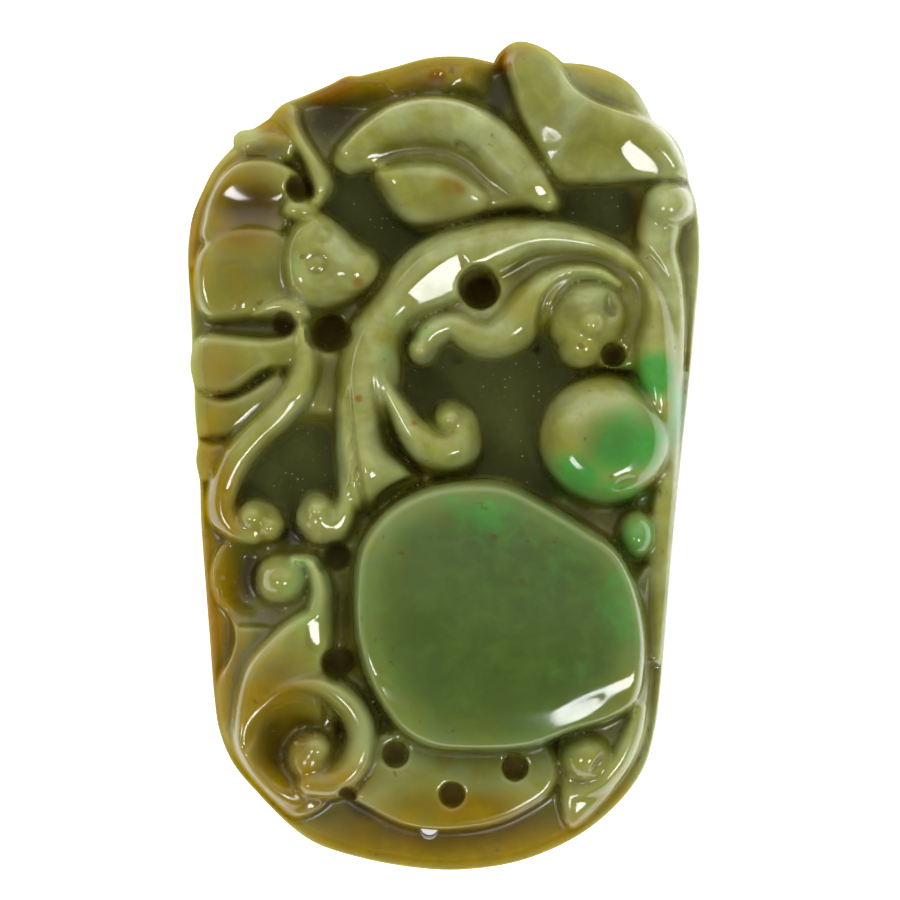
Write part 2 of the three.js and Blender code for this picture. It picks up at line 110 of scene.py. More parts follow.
def smooth_line(rows, closed=False):
    """Centripetal Catmull-Rom line through rows of numbers whose first two are x and y."""
    p = np.array(rows, float)
    n = len(p)
    if closed:
        p = np.vstack([p[-1], p, p[0], p[1]])
    else:
        p = np.vstack([2 * p[0] - p[1], p, 2 * p[-1] - p[-2]])
        n -= 1
    out = []
    for a, b, c, d in zip(p[:n], p[1 : n + 1], p[2 : n + 2], p[3 : n + 3]):
        gaps = [max(math.dist(s[:2], e[:2]) ** 0.5, 1e-6) for s, e in ((a, b), (b, c), (c, d))]
        t1 = gaps[0]
        t2 = t1 + gaps[1]
        t3 = t2 + gaps[2]
        for t in np.linspace(t1, t2, SPLITS, endpoint=False):
            ab = a + (b - a) * (t / t1)
            bc = b + (c - b) * ((t - t1) / (t2 - t1))
            cd = c + (d - c) * ((t - t2) / (t3 - t2))
            abc = ab + (bc - ab) * (t / t2)
            bcd = bc + (cd - bc) * ((t - t1) / (t3 - t1))
            out.append(abc + (bcd - abc) * ((t - t1) / (t2 - t1)))
    if not closed:
        out.append(p[-2])
    return np.array(out)


def soft_max(a, b, k):
    """The higher of two heights, with a fillet of size k where they cross."""
    h = np.clip(0.5 + 0.5 * (a - b) / k, 0, 1)
    return b * (1 - h) + a * h + k * h * (1 - h)


def soft_min(a, b, k):
    """The lower of two heights, with a fillet of size k where they cross."""
    return -soft_max(-a, -b, k)


def fade(x, low, high):
    """0 below low, 1 above high, and a smooth step between; low may be the larger."""
    t = np.clip((x - low) / (high - low), 0, 1)
    return t * t * (3 - 2 * t)


def blurred(z, sigma):
    """z smoothed by a bell of width sigma, given in raster steps."""
    reach = max(int(math.ceil(3 * sigma)), 1)
    bell = np.exp(-0.5 * (np.arange(-reach, reach + 1) / sigma) ** 2)
    bell /= bell.sum()
    for axis in (0, 1):
        pad = [(0, 0), (0, 0)]
        pad[axis] = (reach, reach)
        wide = np.pad(z, pad, mode="edge")
        size = z.shape[axis]
        z = sum(w * np.take(wide, range(i, i + size), axis) for i, w in enumerate(bell))
    return z


# --- the relief -------------------------------------------------------------------------------


class Relief:
    """Height of the carved side over a fine square raster, in millimetres."""

    def __init__(self, half_width, half_length, step):
        self.step = step
        self.x0 = -half_width
        self.y0 = -half_length
        self.x = np.arange(-half_width, half_width + step, step)
        self.y = np.arange(-half_length, half_length + step, step)
        self.X, self.Y = np.meshgrid(self.x, self.y)
        self.Z = np.full(self.X.shape, LEDGE)
        self.dull = np.zeros(self.X.shape)
        self.drilled = np.zeros(self.X.shape)

    def window(self, low, high, margin=1.6):
        """Slices of the raster round a box of the plan, with a margin in millimetres."""
        c0 = max(int((low[0] - margin - self.x0) / self.step), 0)
        c1 = max(int((high[0] + margin - self.x0) / self.step) + 2, 1)
        r0 = max(int((low[1] - margin - self.y0) / self.step), 0)
        r1 = max(int((high[1] + margin - self.y0) / self.step) + 2, 1)
        return slice(r0, r1), slice(c0, c1)

    def nearest(self, line):
        """How far each sample lies from a line of x, y, half width and further values: over the
        half width, and past the edge. Then the further values there, and the side."""
        shape = self.X.shape
        q = np.full(shape, 1e3)
        past = np.full(shape, 1e3)
        side = np.zeros(shape)
        rest = np.zeros((line.shape[1] - 3,) + shape)
        for a, b in zip(line[:-1], line[1:]):
            reach = max(a[2], b[2])
            w = self.window(np.minimum(a, b)[:2] - reach, np.maximum(a, b)[:2] + reach)
            x, y = self.X[w], self.Y[w]
            d = b[:2] - a[:2]
            t = np.clip(((x - a[0]) * d[0] + (y - a[1]) * d[1]) / max(d @ d, 1e-12), 0, 1)
            dx = x - a[0] - t * d[0]
            dy = y - a[1] - t * d[1]
            away = np.hypot(dx, dy)
            width = a[2] + t * (b[2] - a[2])
            closer = away / width < q[w]
            q[w] = np.where(closer, away / width, q[w])
            past[w] = np.where(closer, away - width, past[w])
            side[w] = np.where(closer, (d[0] * dy - d[1] * dx) / math.hypot(*d) / width, side[w])
            for k in range(len(rest)):
                rest[k][w] = np.where(closer, a[3 + k] + t * (b[3 + k] - a[3 + k]), rest[k][w])
        return q, past, rest, side

    def raise_to(self, q, past, crest, foot, power, fillet):
        """Lays on a rounded form whose q is 0 in its middle and 1 at its edge."""
        top = foot + (crest - foot) * np.sqrt(np.clip(1 - np.clip(q, 0, 1) ** power, 0, 1))
        z = np.where(q < 1, top, foot - np.clip(past, 0, None) * WALL)
        self.Z = soft_max(self.Z, z, fillet)

    def ridge(self, rows, foot=4.15, power=2.0, lean=0.0, fillet=FILLET):
        """A rounded ridge along rows of x, y, half width, crest. lean moves the crest sideways,
        to the left of the way the rows run where it is positive."""
        line = smooth_line(rows)
        line[:, 2] = np.maximum(line[:, 2], 0.05)
        q, past, (crest,), side = self.nearest(line)
        if lean:
            over = np.clip(side, -1, 1)
            flank = np.where(over > lean, (over - lean) / (1 - lean), (lean - over) / (1 + lean))
            ends = np.sqrt(np.clip(q * q - over * over, 0, 1))
            q = np.where(q < 1, np.clip(np.hypot(flank, ends), 0, 1), q)
        self.raise_to(q, past, crest, foot, power, fillet)

    def dome(self, x, y, rx, ry, crest, foot=4.15, power=2.0, turn=0.0, fillet=FILLET):
        """A rounded form over an oval; a higher power makes its top flatter."""
        c, s = math.cos(math.radians(turn)), math.sin(math.radians(turn))
        dx, dy = self.X - x, self.Y - y
        q = np.hypot((c * dx + s * dy) / rx, (-s * dx + c * dy) / ry)
        self.raise_to(q, (q - 1) * min(rx, ry), crest, foot, power, fillet)

    def region(self, loop, w):
        """Distance inside a closed loop, negative outside, and a softer one without creases."""
        x, y = self.X[w], self.Y[w]
        near = np.full(x.shape, 1e3)
        inside = np.zeros(x.shape, bool)
        pull = np.zeros(x.shape)
        for a, b in zip(loop, np.roll(loop, -1, 0)):
            d = b[:2] - a[:2]
            length = math.hypot(*d)
            if length < 1e-6:
                continue
            u = ((x - a[0]) * d[0] + (y - a[1]) * d[1]) / length
            v2 = ((x - a[0]) * d[1] - (y - a[1]) * d[0]) ** 2 / length**2 + 1e-5
            near = np.minimum(near, v2 + (u - np.clip(u, 0, length)) ** 2)
            pull += ((length - u) / np.sqrt(v2 + (length - u) ** 2) + u / np.sqrt(v2 + u * u)) / v2
            if abs(d[1]) > 1e-9:
                crosses = (a[1] > y) != (b[1] > y)
                inside ^= crosses & (x < a[0] + (y - a[1]) * d[0] / d[1])
        near = np.sqrt(near)
        soft = np.sqrt(2 / np.maximum(pull, 1e-9))
        return np.where(inside, near, -near), np.where(inside, soft, 0)

    def plate(self, rows, top, foot=4.8, soft=1.0, tilt=(0, 0), crown=0.0, falls=(),
              fillet=FILLET):
        """A raised patch inside a loop of x, y, with an edge rounded over a width of soft.
        tilt is its slope along x and y, and crown how far its middle swells. Past the place
        x, y of each fall, towards a bearing in degrees, the top drops by a slope."""
        loop = smooth_line(rows, closed=True)
        w = self.window(loop.min(0), loop.max(0))
        edge, inner = self.region(loop, w)
        middle = (loop.min(0) + loop.max(0)) / 2
        crest = top + tilt[0] * (self.X[w] - middle[0]) + tilt[1] * (self.Y[w] - middle[1])
        if crown:
            crest = crest + crown * (inner / inner.max()) ** 1.5
        for x, y, bearing, slope in falls:
            a = math.radians(bearing)
            past = (self.X[w] - x) * math.cos(a) + (self.Y[w] - y) * math.sin(a)
            crest = soft_min(crest, top - slope * past, FALL_FILLET)
        body = foot + (crest - foot) * np.sqrt(1 - (1 - np.clip(inner / soft, 0, 1)) ** 2)
        z = np.where(edge > 0, body, foot + np.minimum(edge, 0) * WALL)
        self.Z[w] = soft_max(self.Z[w], z, fillet)

    def basin(self, rows, floor, fillet=0.5, wall=3.0, dull=1.0):
        """Sinks the ground inside a loop down to a floor. dull is how far it stays unpolished."""
        loop = smooth_line(rows, closed=True)
        w = self.window(loop.min(0), loop.max(0))
        edge, _ = self.region(loop, w)
        self.Z[w] = soft_min(self.Z[w], floor + np.clip(-edge, 0, None) * wall, fillet)
        self.dull[w] = np.maximum(self.dull[w], dull * fade(edge, -0.6, 0.2))

    def facet(self, x, y, rx, ry, turn, bearing, depth):
        """A flat that the polishing wheel leaves round a place, sloping towards a bearing.
        It fades out past the oval rx, ry."""
        c, s = math.cos(math.radians(turn)), math.sin(math.radians(turn))
        a = math.radians(bearing)
        dx, dy = self.X - x, self.Y - y
        q = np.hypot((c * dx + s * dy) / rx, (-s * dx + c * dy) / ry)
        level = self.at(self.Z, np.array(x), np.array(y)) - depth
        flat = level - FLAT_SLOPE * (dx * math.cos(a) + dy * math.sin(a))
        cut = soft_min(self.Z, flat, 0.05)
        self.Z = self.Z + (cut - self.Z) * fade(q, 1.25, 0.95)

    def groove(self, rows, depth):
        """Engraves rows of x, y, half width; it gets shallower where it gets narrower."""
        line = smooth_line([(x, y, w, w) for x, y, w in rows])
        line[:, 2:] = np.maximum(line[:, 2:], NARROW)
        q, _, (width,), _ = self.nearest(line)
        self.Z -= depth * width / line[:, 2].max() * np.clip(1 - q, 0, 1) ** 1.3

    def dish(self, x, y, rx, ry, depth):
        """Hollows the surface softly inside an oval."""
        q2 = ((self.X - x) / rx) ** 2 + ((self.Y - y) / ry) ** 2
        self.Z -= depth * np.clip(1 - q2, 0, 1) ** 2

    def ring(self, x, y, radius, width, depth):
        """The ring that a tube drill leaves."""
        q = np.abs(np.hypot(self.X - x, self.Y - y) - radius) / width
        self.Z -= depth * np.clip(1 - q * q, 0, 1) ** 1.5

    def pit(self, x, y, radius, floor):
        """A drilled pit."""
        q = np.hypot(self.X - x, self.Y - y) / radius
        bottom = floor + PIT_BOWL * (1 - np.sqrt(np.clip(1 - q**3, 0, 1)))
        z = np.where(q < 1, bottom, floor + PIT_BOWL + (q - 1) * radius * PIT_WALL)
        w = self.window((x - radius, y - radius), (x + radius, y + radius), 0.8)
        self.Z[w] = soft_min(self.Z[w], z[w], PIT_FILLET)
        self.drilled[w] = np.maximum(self.drilled[w], fade(q[w], 1.05, 0.8))

    def at(self, field, x, y):
        """A raster field read between its samples."""
        u = np.clip((x - self.x0) / self.step, 0, field.shape[1] - 1.001)
        v = np.clip((y - self.y0) / self.step, 0, field.shape[0] - 1.001)
        i, j = u.astype(int), v.astype(int)
        u, v = u - i, v - j
        low = field[j, i] * (1 - u) + field[j, i + 1] * u
        high = field[j + 1, i] * (1 - u) + field[j + 1, i + 1] * u
        return low * (1 - v) + high * v
# --- the outline ------------------------------------------------------------------------------

# Smooth stretches that meet in the notches between the forms, anticlockwise from the bat.
OUTLINE = [
    [(-15.75, 23.1), (-16.5, 22.3), (-17.3, 21.3), (-18, 19.9), (-18.8, 18), (-19.1, 16),
     (-19.15, 14), (-19, 11.5), (-18.85, 8)],
    [(-18.85, 8), (-18.95, 6.6), (-18.7, 5.2), (-18.6, 3.2), (-18.4, 0.8)],
    [(-18.4, 0.8), (-18.55, -0.4), (-18.3, -1.8), (-18.2, -4.8), (-17.9, -9), (-17.55, -13.5),
     (-17.2, -18), (-16.8, -20.6), (-15.8, -23), (-13.8, -25.4), (-11.6, -27.6),
     (-9.6, -29), (-6, -30.15), (-2, -30.85), (1, -31), (5, -30.5), (8.2, -29.4),
     (11, -27.8), (13.4, -25.6), (15, -23.3), (15.8, -20.6), (16.2, -17.8), (16.7, -12),
     (17.2, -6), (17.8, 0), (18.45, 6), (18.9, 11), (19.15, 14), (19.15, 16.6),
     (18.9, 18.8), (18.4, 20.4), (17.9, 22.6), (17, 24), (15.6, 25)],
    [(15.6, 25), (15.1, 26.1), (14.3, 27.4), (13, 28.4), (11, 29.15), (8.9, 29.35)],
    [(8.9, 29.35), (7.7, 30.3), (5.8, 30.95), (4.9, 30.75), (4.1, 30.1), (3.7, 29.4)],
    [(3.7, 29.4), (1.6, 29.8), (-1, 29.75), (-4, 28.95), (-6.3, 28.35)],
    [(-6.3, 28.35), (-7.2, 28.35), (-8.6, 27.7), (-10.4, 26.95), (-12, 26.3), (-13.1, 25.2)],
    [(-13.1, 25.2), (-14.3, 24.45), (-15.2, 24.3), (-15.75, 23.8), (-15.75, 23.1)],
]

# Side of the slab below its widest line, from there down: height, and distance in.
UNDERSIDE = [(2.1, 0.03), (1.5, 0.12), (0.95, 0.3), (0.5, 0.58), (0.2, 0.88), (0.05, 1.1),
             (0.0, 1.35)]
HALF_WIDTH = 19.0
HALF_LENGTH = 30.0

# The side above the widest line rounds over into the carving.
SHOULDER_WIDTH = 1.6
SHOULDER_RISE = 9.6
SHOULDER_FILLET = 0.5


# --- the carved forms -------------------------------------------------------------------------


def carve_ground(r):
    """The raised borders, the webs between the forms, and the deep ground."""
    r.ridge([(-9.8, 26.4, 1.2, 6.5), (-7.4, 27.2, 1.5, 6.8), (-4.5, 27.6, 1.7, 6.8),
        (-1, 28.1, 1.8, 6.8), (1.8, 28.2, 1.7, 6.8), (3.7, 28, 1.3, 6.7)], foot=4.9, power=2.6)
    r.dish(-0.5, 28.05, 0.85, 0.85, 0.3)
    r.plate([(-16.3, -6.4), (-17.05, -7.4), (-17.4, -9), (-17, -10.8), (-16.1, -11.9),
        (-15.7, -13.4), (-16, -14.9), (-16.8, -16.6), (-16.9, -18.6), (-16.4, -20.9),
        (-15.3, -22.9), (-13.2, -25.3), (-10.8, -27), (-8, -25), (-9, -14), (-10, -7)], 6.75,
        foot=5.3, soft=0.5)
    r.plate([(-15.5, -2.5), (-17.5, -2.6), (-17.65, -4.3), (-17, -5.6), (-15, -6.6), (-12, -7),
        (-12, -5)], 6.9, foot=5.3, soft=0.5)
    r.plate([(15.2, -8), (15.35, -13), (15.3, -17.5), (15, -20.6), (13.9, -23.4), (11.6, -26.2),
        (9.4, -27.8), (8.6, -26), (9, -20), (12, -12)], 7.2, foot=5.4, soft=0.9,
        falls=[(12.6, -23.6, -50, 0.4)])
    r.plate([(-4.5, 7), (-4, 12), (0, 15.5), (6, 17), (12, 16), (15.6, 12), (16, 6), (13.6, 6.2),
        (9, 6.9), (7, 7.9), (3, 7.1), (-1, 7.2), (-2.8, 6.5)], 7.7, foot=4.6, soft=0.5)
    r.plate([(-10.5, 9), (-8.6, 8.2), (-7.6, 8), (-7, 1), (-8.2, 1.2), (-8.9, 2.1), (-10, 2.5),
        (-11.4, 2.2), (-11.6, 4)], 6.8, foot=4.6, soft=0.8)
    r.basin([(-4.4, 4.6), (-3.6, 7), (-1, 8.2), (3, 8), (6.5, 8.8), (9.2, 8.2), (10.2, 6),
        (8.8, 3.8), (8.2, 0), (8, -3.4), (2, -3), (-0.5, -0.5), (-3, 1.5)], FLOOR, fillet=0.7,
        wall=2.4)
    r.basin([(-9.2, 18.4), (-8.8, 20.6), (-6, 21.5), (-3.4, 19.5), (-1, 17.8), (0.6, 17.4),
        (-1, 16), (-3, 14.4), (-4.8, 12.8), (-6, 14.6), (-7.6, 17)], FLOOR - 0.2, fillet=0.7,
        wall=2.4)
    r.basin([(8, 19.6), (9.6, 20), (12, 20.2), (13.6, 19.8), (13.9, 18), (13.4, 16.6),
        (11.4, 16.8), (9, 17.4)], 4.2, fillet=1, wall=1.8)
    r.basin([(-15.4, -1), (-13.5, 0.8), (-11.3, 2), (-9.2, 2.1), (-8.1, 1), (-7.6, -3.4),
        (-9, -4), (-11, -5), (-12.2, -5.6), (-13.5, -4.6), (-15.6, -4.2), (-15.9, -2.5)], FLOOR,
        fillet=0.7, wall=2.4)
    r.basin([(-10.8, 25.5), (-9.3, 26.1), (-7.4, 26), (-5.4, 25.6), (-6, 24), (-8.4, 21.8),
        (-9.6, 22.2)], 4.5, fillet=1, wall=1.2, dull=0)
    r.basin([(3.3, 26.8), (3.6, 28.2), (4.6, 28.6), (5.6, 27.5), (6, 24.6), (7, 22.6),
        (8.6, 20.5), (7.6, 19.6), (6, 22.6), (4.4, 24.9), (2.4, 26.2)], 4.5, fillet=1, wall=1.3,
        dull=0.25)
    r.basin([(-14.9, -7.5), (-14, -7.6), (-13.8, -9.8), (-14.2, -11), (-15.3, -10.6),
        (-15.3, -9)], 4.9, fillet=1.4, wall=0.9, dull=0)
    r.basin([(-11.9, -5.3), (-10.8, -5.3), (-10.6, -6.4), (-11.6, -6.6)], 4.8, fillet=1, wall=1.2,
        dull=0)
    r.basin([(-7.5, -5), (-8, -7.4), (-7.5, -10), (-7.3, -15.5), (-6, -18), (-7.4, -17.4),
        (-8.6, -15.6), (-8.2, -12), (-8.6, -9), (-9.4, -6.8), (-9, -5.5)], 4.9, fillet=0.7,
        wall=1.8, dull=0.3)


def carve_wing(r):
    """The bat's spread wing: scalloped lobes behind two arms."""
    r.plate([(-18.9, 14), (-18.6, 17.6), (-17.4, 20.7), (-15.9, 22.6), (-14, 23.4), (-12, 22),
        (-14, 14)], 6.5, foot=5.3, soft=0.5)
    r.plate([(-15.6, 23.3), (-15.2, 24.1), (-14.3, 24.25), (-13, 24.9), (-11.9, 25.4),
        (-10.8, 23), (-11.4, 21.8), (-13.5, 22.3), (-15, 22.5)], 6.9, foot=5.1, soft=0.7)
    r.plate([(-15.1, 22.7), (-14.9, 23.5), (-14, 24), (-12.8, 24.1), (-11.2, 23.6), (-11.2, 22),
        (-13.5, 22)], 7.4, foot=6, soft=0.4, falls=[(-13.2, 23.3, -95, 0.4)])
    r.plate([(-17.95, 15.8), (-17.85, 17.8), (-17.2, 19.8), (-16.4, 21), (-15.2, 21.9),
        (-13.4, 22.15), (-11.9, 21.8), (-10.6, 20.8), (-10.2, 19), (-12, 16.4), (-15, 15.6)], 7.9,
        foot=5.6, soft=0.45)
    r.dish(-13.9, 18.5, 3.9, 2.3, 0.8)
    r.plate([(-11.6, 16.8), (-13.6, 17.3), (-15.2, 17.3), (-16.7, 16.9), (-17.8, 16),
        (-18.5, 14.8), (-18.7, 13.4), (-18.6, 12), (-18.2, 10.8), (-17.4, 10), (-14.5, 10.1),
        (-12, 10.3), (-11, 13)], 8.3, foot=5.15, soft=0.8, crown=0.3,
        falls=[(-15, 14.6, -100, 0.22)])
    r.facet(-15.5, 11.2, 0.55, 0.4, -10, -70, 0.06)
    r.plate([(-10, 10), (-10.9, 9.7), (-11.8, 9.1), (-13.4, 8.9), (-15.5, 9.05), (-17.6, 9.15),
        (-18.5, 8.5), (-18.95, 6.8), (-18.7, 5.4), (-17.5, 4.4), (-15.4, 4.7), (-13.1, 6.2),
        (-10.4, 6.5)], 8.2, foot=5.15, soft=0.7, falls=[(-14.5, 7.8, -80, 0.25)])
    r.plate([(-18.7, 4.8), (-18.6, 2.5), (-18.25, 1.5), (-17, 1.2), (-15.6, 1.4), (-13.5, 3.2),
        (-11.5, 4.6), (-12.2, 6.6), (-14, 5.4), (-16.2, 4.4)], 7.5, foot=5.15, soft=0.7,
        falls=[(-16, 3.4, -80, 0.25)])
    r.plate([(-18.45, 0.9), (-18.5, -0.5), (-18.2, -1.7), (-17.2, -1.9), (-16.6, -0.4),
        (-15.6, 1.2), (-17, 1.2)], 7, foot=5.15, soft=0.8)
    r.plate([(-12.9, 25.35), (-12.1, 24), (-11.1, 22.7), (-10.4, 21.4), (-10, 20.3),
        (-9.85, 19.4), (-10.6, 18.6), (-9.2, 18.2), (-8.6, 19), (-8.15, 19.9), (-8.3, 21),
        (-9, 22.1), (-9.9, 23.4), (-10.5, 24.6), (-10.9, 25.9), (-12, 26.2)], 8.5, foot=4.8,
        soft=0.7, falls=[(-10.3, 22.6, 122, 0.42)])
    r.ridge([(-10.75, 9.9, 0.35, 8.35), (-10.5, 8.6, 0.95, 8.75), (-10.4, 6.8, 1.3, 8.85),
        (-10.9, 5, 1.45, 8.8), (-12.3, 3.2, 1.4, 8.6), (-14, 1.6, 1.35, 8.35),
        (-15.6, -0.4, 1.35, 8.15), (-16.4, -2.6, 1.25, 7.9), (-16.4, -4.3, 1.15, 7.7),
        (-15.5, -5.6, 0.95, 7.6), (-14.1, -6, 0.8, 7.5)], foot=4.8, power=2.6, lean=0.2)
    r.facet(-12.1, 2.6, 1.8, 0.35, 48, -46, 0.04)
    r.facet(-15.7, -1.6, 1.3, 0.6, 62, -46, 0.1)
    r.dome(-13.9, -5, 2.1, 1.75, 7.6, foot=4.5)
    r.dome(-14.2, -4.55, 1.25, 1.2, 8.3, foot=6.1)
    r.dome(-12.95, -5.25, 1.05, 1.1, 8.15, foot=6.1)


def carve_head(r):
    """The bat's head, with its shoulder, ear and muzzle. Its drilled eyes are made with the other
    rings, among the lines.
    """
    r.plate([(-14.3, 10.3), (-13.2, 11.5), (-11.6, 12.1), (-10.2, 11.4), (-9.8, 10.2), (-11, 9.9),
        (-12.5, 10.4)], 8.6, foot=6.4, soft=0.9)
    r.plate([(-12.35, 14.2), (-12.2, 15.8), (-11.5, 17.2), (-10.2, 18.2), (-9.2, 18.25),
        (-8, 17.5), (-6.6, 16.2), (-5.5, 15.1), (-4.95, 14), (-5, 12.8), (-6, 11.7), (-7.6, 11.1),
        (-9.4, 10.8), (-11, 11.1), (-12, 12.4)], 9.5, foot=5.5, soft=1.5, crown=0.25,
        falls=[(-8.8, 12.7, -75, 0.5)])
    r.plate([(-12.1, 18), (-11.8, 18.9), (-11.2, 19.25), (-10.2, 19), (-9.2, 18.2), (-9.8, 17.4),
        (-11, 17.3)], 9.3, foot=7, soft=0.8)
    r.dome(-6.7, 13.8, 1.75, 1.6, 9.9, foot=8.2, fillet=0.6)


def carve_leaves(r):
    """The folded leaf above the arch, the boot-shaped leaf beside it, and the lobe behind."""
    r.plate([(-8.4, 21.6), (-8.1, 22.8), (-7.1, 23.8), (-6, 24.6), (-4.5, 25.7), (-3, 26.3),
        (-1.2, 26.6), (0.6, 26.55), (2, 26.1), (3.4, 25.3), (4.8, 24.2), (6, 22.7), (7.1, 21.1),
        (8.1, 19.2), (8.65, 17.9), (7, 18.2), (5, 18.1), (2.8, 17.65), (0.5, 17.15), (-1.6, 17),
        (-2.8, 17.5), (-3.8, 18.5), (-4.6, 20), (-5.6, 21), (-7.2, 20.8)], 8, foot=4.5, soft=0.9)
    r.ridge([(-7, 22.4, 0.9, 8.6), (-5.4, 23.6, 1.25, 9.1), (-3, 24.6, 1.75, 9.5),
        (-0.2, 24.8, 1.9, 9.7), (2.4, 23.9, 1.9, 9.65), (4.4, 22.2, 2, 9.45), (6, 20.5, 1.7, 9.2),
        (7.6, 18.9, 0.9, 8.8)], foot=7, power=2.4, lean=0.3, fillet=0.6)
    r.plate([(-5.2, 20.9), (-4.4, 21.5), (-3, 21.9), (-1.4, 21.95), (0.2, 21.75), (1.6, 21.1),
        (2.7, 20.2), (3.6, 19.2), (3.4, 18.3), (1.6, 17.4), (-0.8, 17.1), (-2.6, 17.5),
        (-3.9, 18.7), (-4.7, 20)], 9.25, foot=6.8, soft=1.1, falls=[(-1, 19.9, -95, 0.5)])
    r.facet(6.9, 19.5, 1, 0.4, -22, -62, 0.08)
    r.facet(1.7, 22.4, 1.1, 0.4, -42, -140, 0.06)
    r.plate([(8.6, 29.35), (10.6, 29.15), (12.9, 28.35), (14.2, 27.3), (15.1, 25.9), (15.8, 24.4),
        (12, 24.6), (9, 27)], 7.6, foot=4.8, soft=0.9)
    r.plate([(4.4, 28.8), (4.8, 30.5), (5.8, 30.85), (7.4, 30.35), (8.7, 29.3), (9.2, 28.5),
        (10, 27.5), (11.2, 26.7), (12.6, 26.15), (14.2, 25.6), (15.6, 24.9), (16.8, 23.9),
        (17.7, 22.4), (18.2, 20.8), (17, 20.2), (14, 20.2), (11, 20.1), (8.4, 20.1), (7.4, 21),
        (6.4, 22.7), (5.6, 24.4), (5.1, 26.2), (4.8, 27.6)], 9.2, foot=4.8, soft=0.8,
        tilt=(0, -0.02), falls=[(12, 22.9, -92, 0.5), (7.1, 26, 172, 0.6), (7.9, 24.2, 205, 0.6),
        (6.8, 27.6, 100, 0.3), (16.4, 22.5, 10, 0.6)])
    r.facet(14.3, 21.9, 2.1, 1, -32, -62, 0.16)
    r.facet(7.9, 23.5, 0.8, 0.6, -20, -140, 0.1)


def carve_stem(r):
    """The arch of the stem with its curled foot and hook, and the bud and strip outside it."""
    r.ridge([(16.4, 18.9, 1.7, 8.2), (16, 17, 1.75, 8.2), (15.8, 15.2, 1.7, 8.1),
        (16.4, 13, 1.5, 8), (16.9, 10.5, 1.15, 7.8), (17, 8, 1, 7.6), (16.9, 5, 0.9, 7.3),
        (16.8, 2, 0.8, 7.1), (16.5, -2, 0.9, 6.85), (16, -6, 1.1, 6.75), (15.9, -10, 0.9, 6.6),
        (15.7, -15, 0.6, 6.45)], foot=5.2, power=2.8)
    r.dome(16.6, 18.6, 1.7, 1.7, 9.5, foot=7.2, fillet=0.12)
    r.plate([(-8.15, 0), (-8.3, 4), (-8, 7), (-7.3, 9.4), (-6.2, 11.2), (-5, 12.8), (-3.9, 14.3),
        (-2.4, 15.7), (-0.6, 16.75), (1.4, 17.4), (3.6, 17.85), (6.2, 17.95), (8.6, 17.7),
        (11, 17), (13, 16.15), (14.6, 15.1), (15.9, 13.7), (17, 11.8), (17.6, 9), (17.8, 6),
        (17.6, 2), (17.3, -1), (15, 2), (14, 5), (13.6, 8), (14.3, 10.6), (14.2, 12.2),
        (13.4, 13.3), (11.6, 14.3), (9.5, 14.6), (7, 14.4), (5.2, 13.4), (3.6, 12.6), (1.6, 11.3),
        (0, 10.4), (-1.8, 9.6), (-2.8, 8.2), (-3, 6.4), (-3.2, 5), (-3.9, 3.4), (-4.2, 1),
        (-2.2, -1), (-1.6, -1.8), (-3.4, -2.8), (-5.2, -4.2), (-6.8, -4.6), (-7.8, -3)], 9.9,
        foot=4.5, soft=2.1, tilt=(-0.012, 0.022), crown=0.2, falls=[(15.4, 10, 10, 0.35),
        (-5, -1.6, -75, 0.5)])
    r.facet(-0.7, 13.1, 2.4, 1.75, 38, -54, 0.3)
    r.facet(-3.4, -2.5, 1.6, 0.4, 30, -62, 0.1)
    r.ridge([(-4.6, 9.6, 0.5, 9.7), (-4.75, 7.4, 0.8, 9.75), (-4.3, 5.2, 0.8, 9.6),
        (-3.3, 3.3, 1.1, 9.35), (-2.2, 1.6, 1.5, 9.15), (-0.8, 0.6, 2, 9), (0.6, 0.5, 2.2, 8.95),
        (1.25, 1.4, 1.65, 8.9), (1.2, 2.3, 1.5, 8.9)], fillet=0.15, power=2.3)
    r.dome(0.5, 2.75, 1.25, 1.2, 9.45, foot=6.3, fillet=0.12)
    r.facet(1, -0.6, 0.9, 0.5, 10, -62, 0.06)
    r.ridge([(-7.5, 4, 0.6, 8.9), (-7.4, 1, 0.7, 8.8), (-7.2, -1.5, 0.8, 8.7),
        (-7.2, -3.6, 1.1, 8.55), (-7.9, -5, 1.5, 8.45), (-9.2, -5.4, 1.4, 8.3)], foot=4.5,
        fillet=0.15)
    r.dome(-9.2, -4.75, 2, 1.95, 8.65, foot=4.5)
    r.facet(-7.8, -4.9, 1.1, 0.45, 36, -58, 0.1)
    r.dome(-9.4, -4, 1.1, 1.05, 9.05, foot=6.9, fillet=0.12)


def carve_cloud(r):
    """The cloud scroll under the arch."""
    r.ridge([(-1.6, 8, 1.1, 8.9), (-0.9, 9.2, 1.45, 9.1), (0.6, 9.7, 1.4, 9.05),
        (2.2, 9, 1.5, 8.95), (3.6, 8.8, 1.65, 9), (5.2, 9.7, 2, 9.15), (6.5, 11.3, 2, 9.25),
        (8, 12.9, 1.4, 9.25), (9.8, 13.6, 0.9, 9.15), (11.6, 13.5, 0.7, 9.05),
        (13, 12.7, 0.5, 8.8)], foot=5.2, fillet=0.25, power=2.4)
    r.facet(6.4, 10.6, 1, 0.4, 52, -45, 0.06)
    r.dome(-1.75, 7.95, 1, 1, 9.2, foot=6.9)
    r.dome(10.7, 10.3, 3.3, 3.15, 9.6, foot=5.2, power=3.2, turn=20, fillet=0.15)
    r.dome(10.3, 8.3, 2, 2, 9.5, foot=5.2, power=2.4, fillet=0.4)
    r.dish(12.1, 10.9, 1.7, 1.6, 0.6)
    r.dish(9, 10.6, 1.3, 1.9, 0.4)
    r.facet(12.6, 11.5, 0.6, 1, -10, -140, 0.05)
    r.dome(10.9, 9.8, 1.35, 1.3, 10.5, foot=7.9, fillet=0.15)


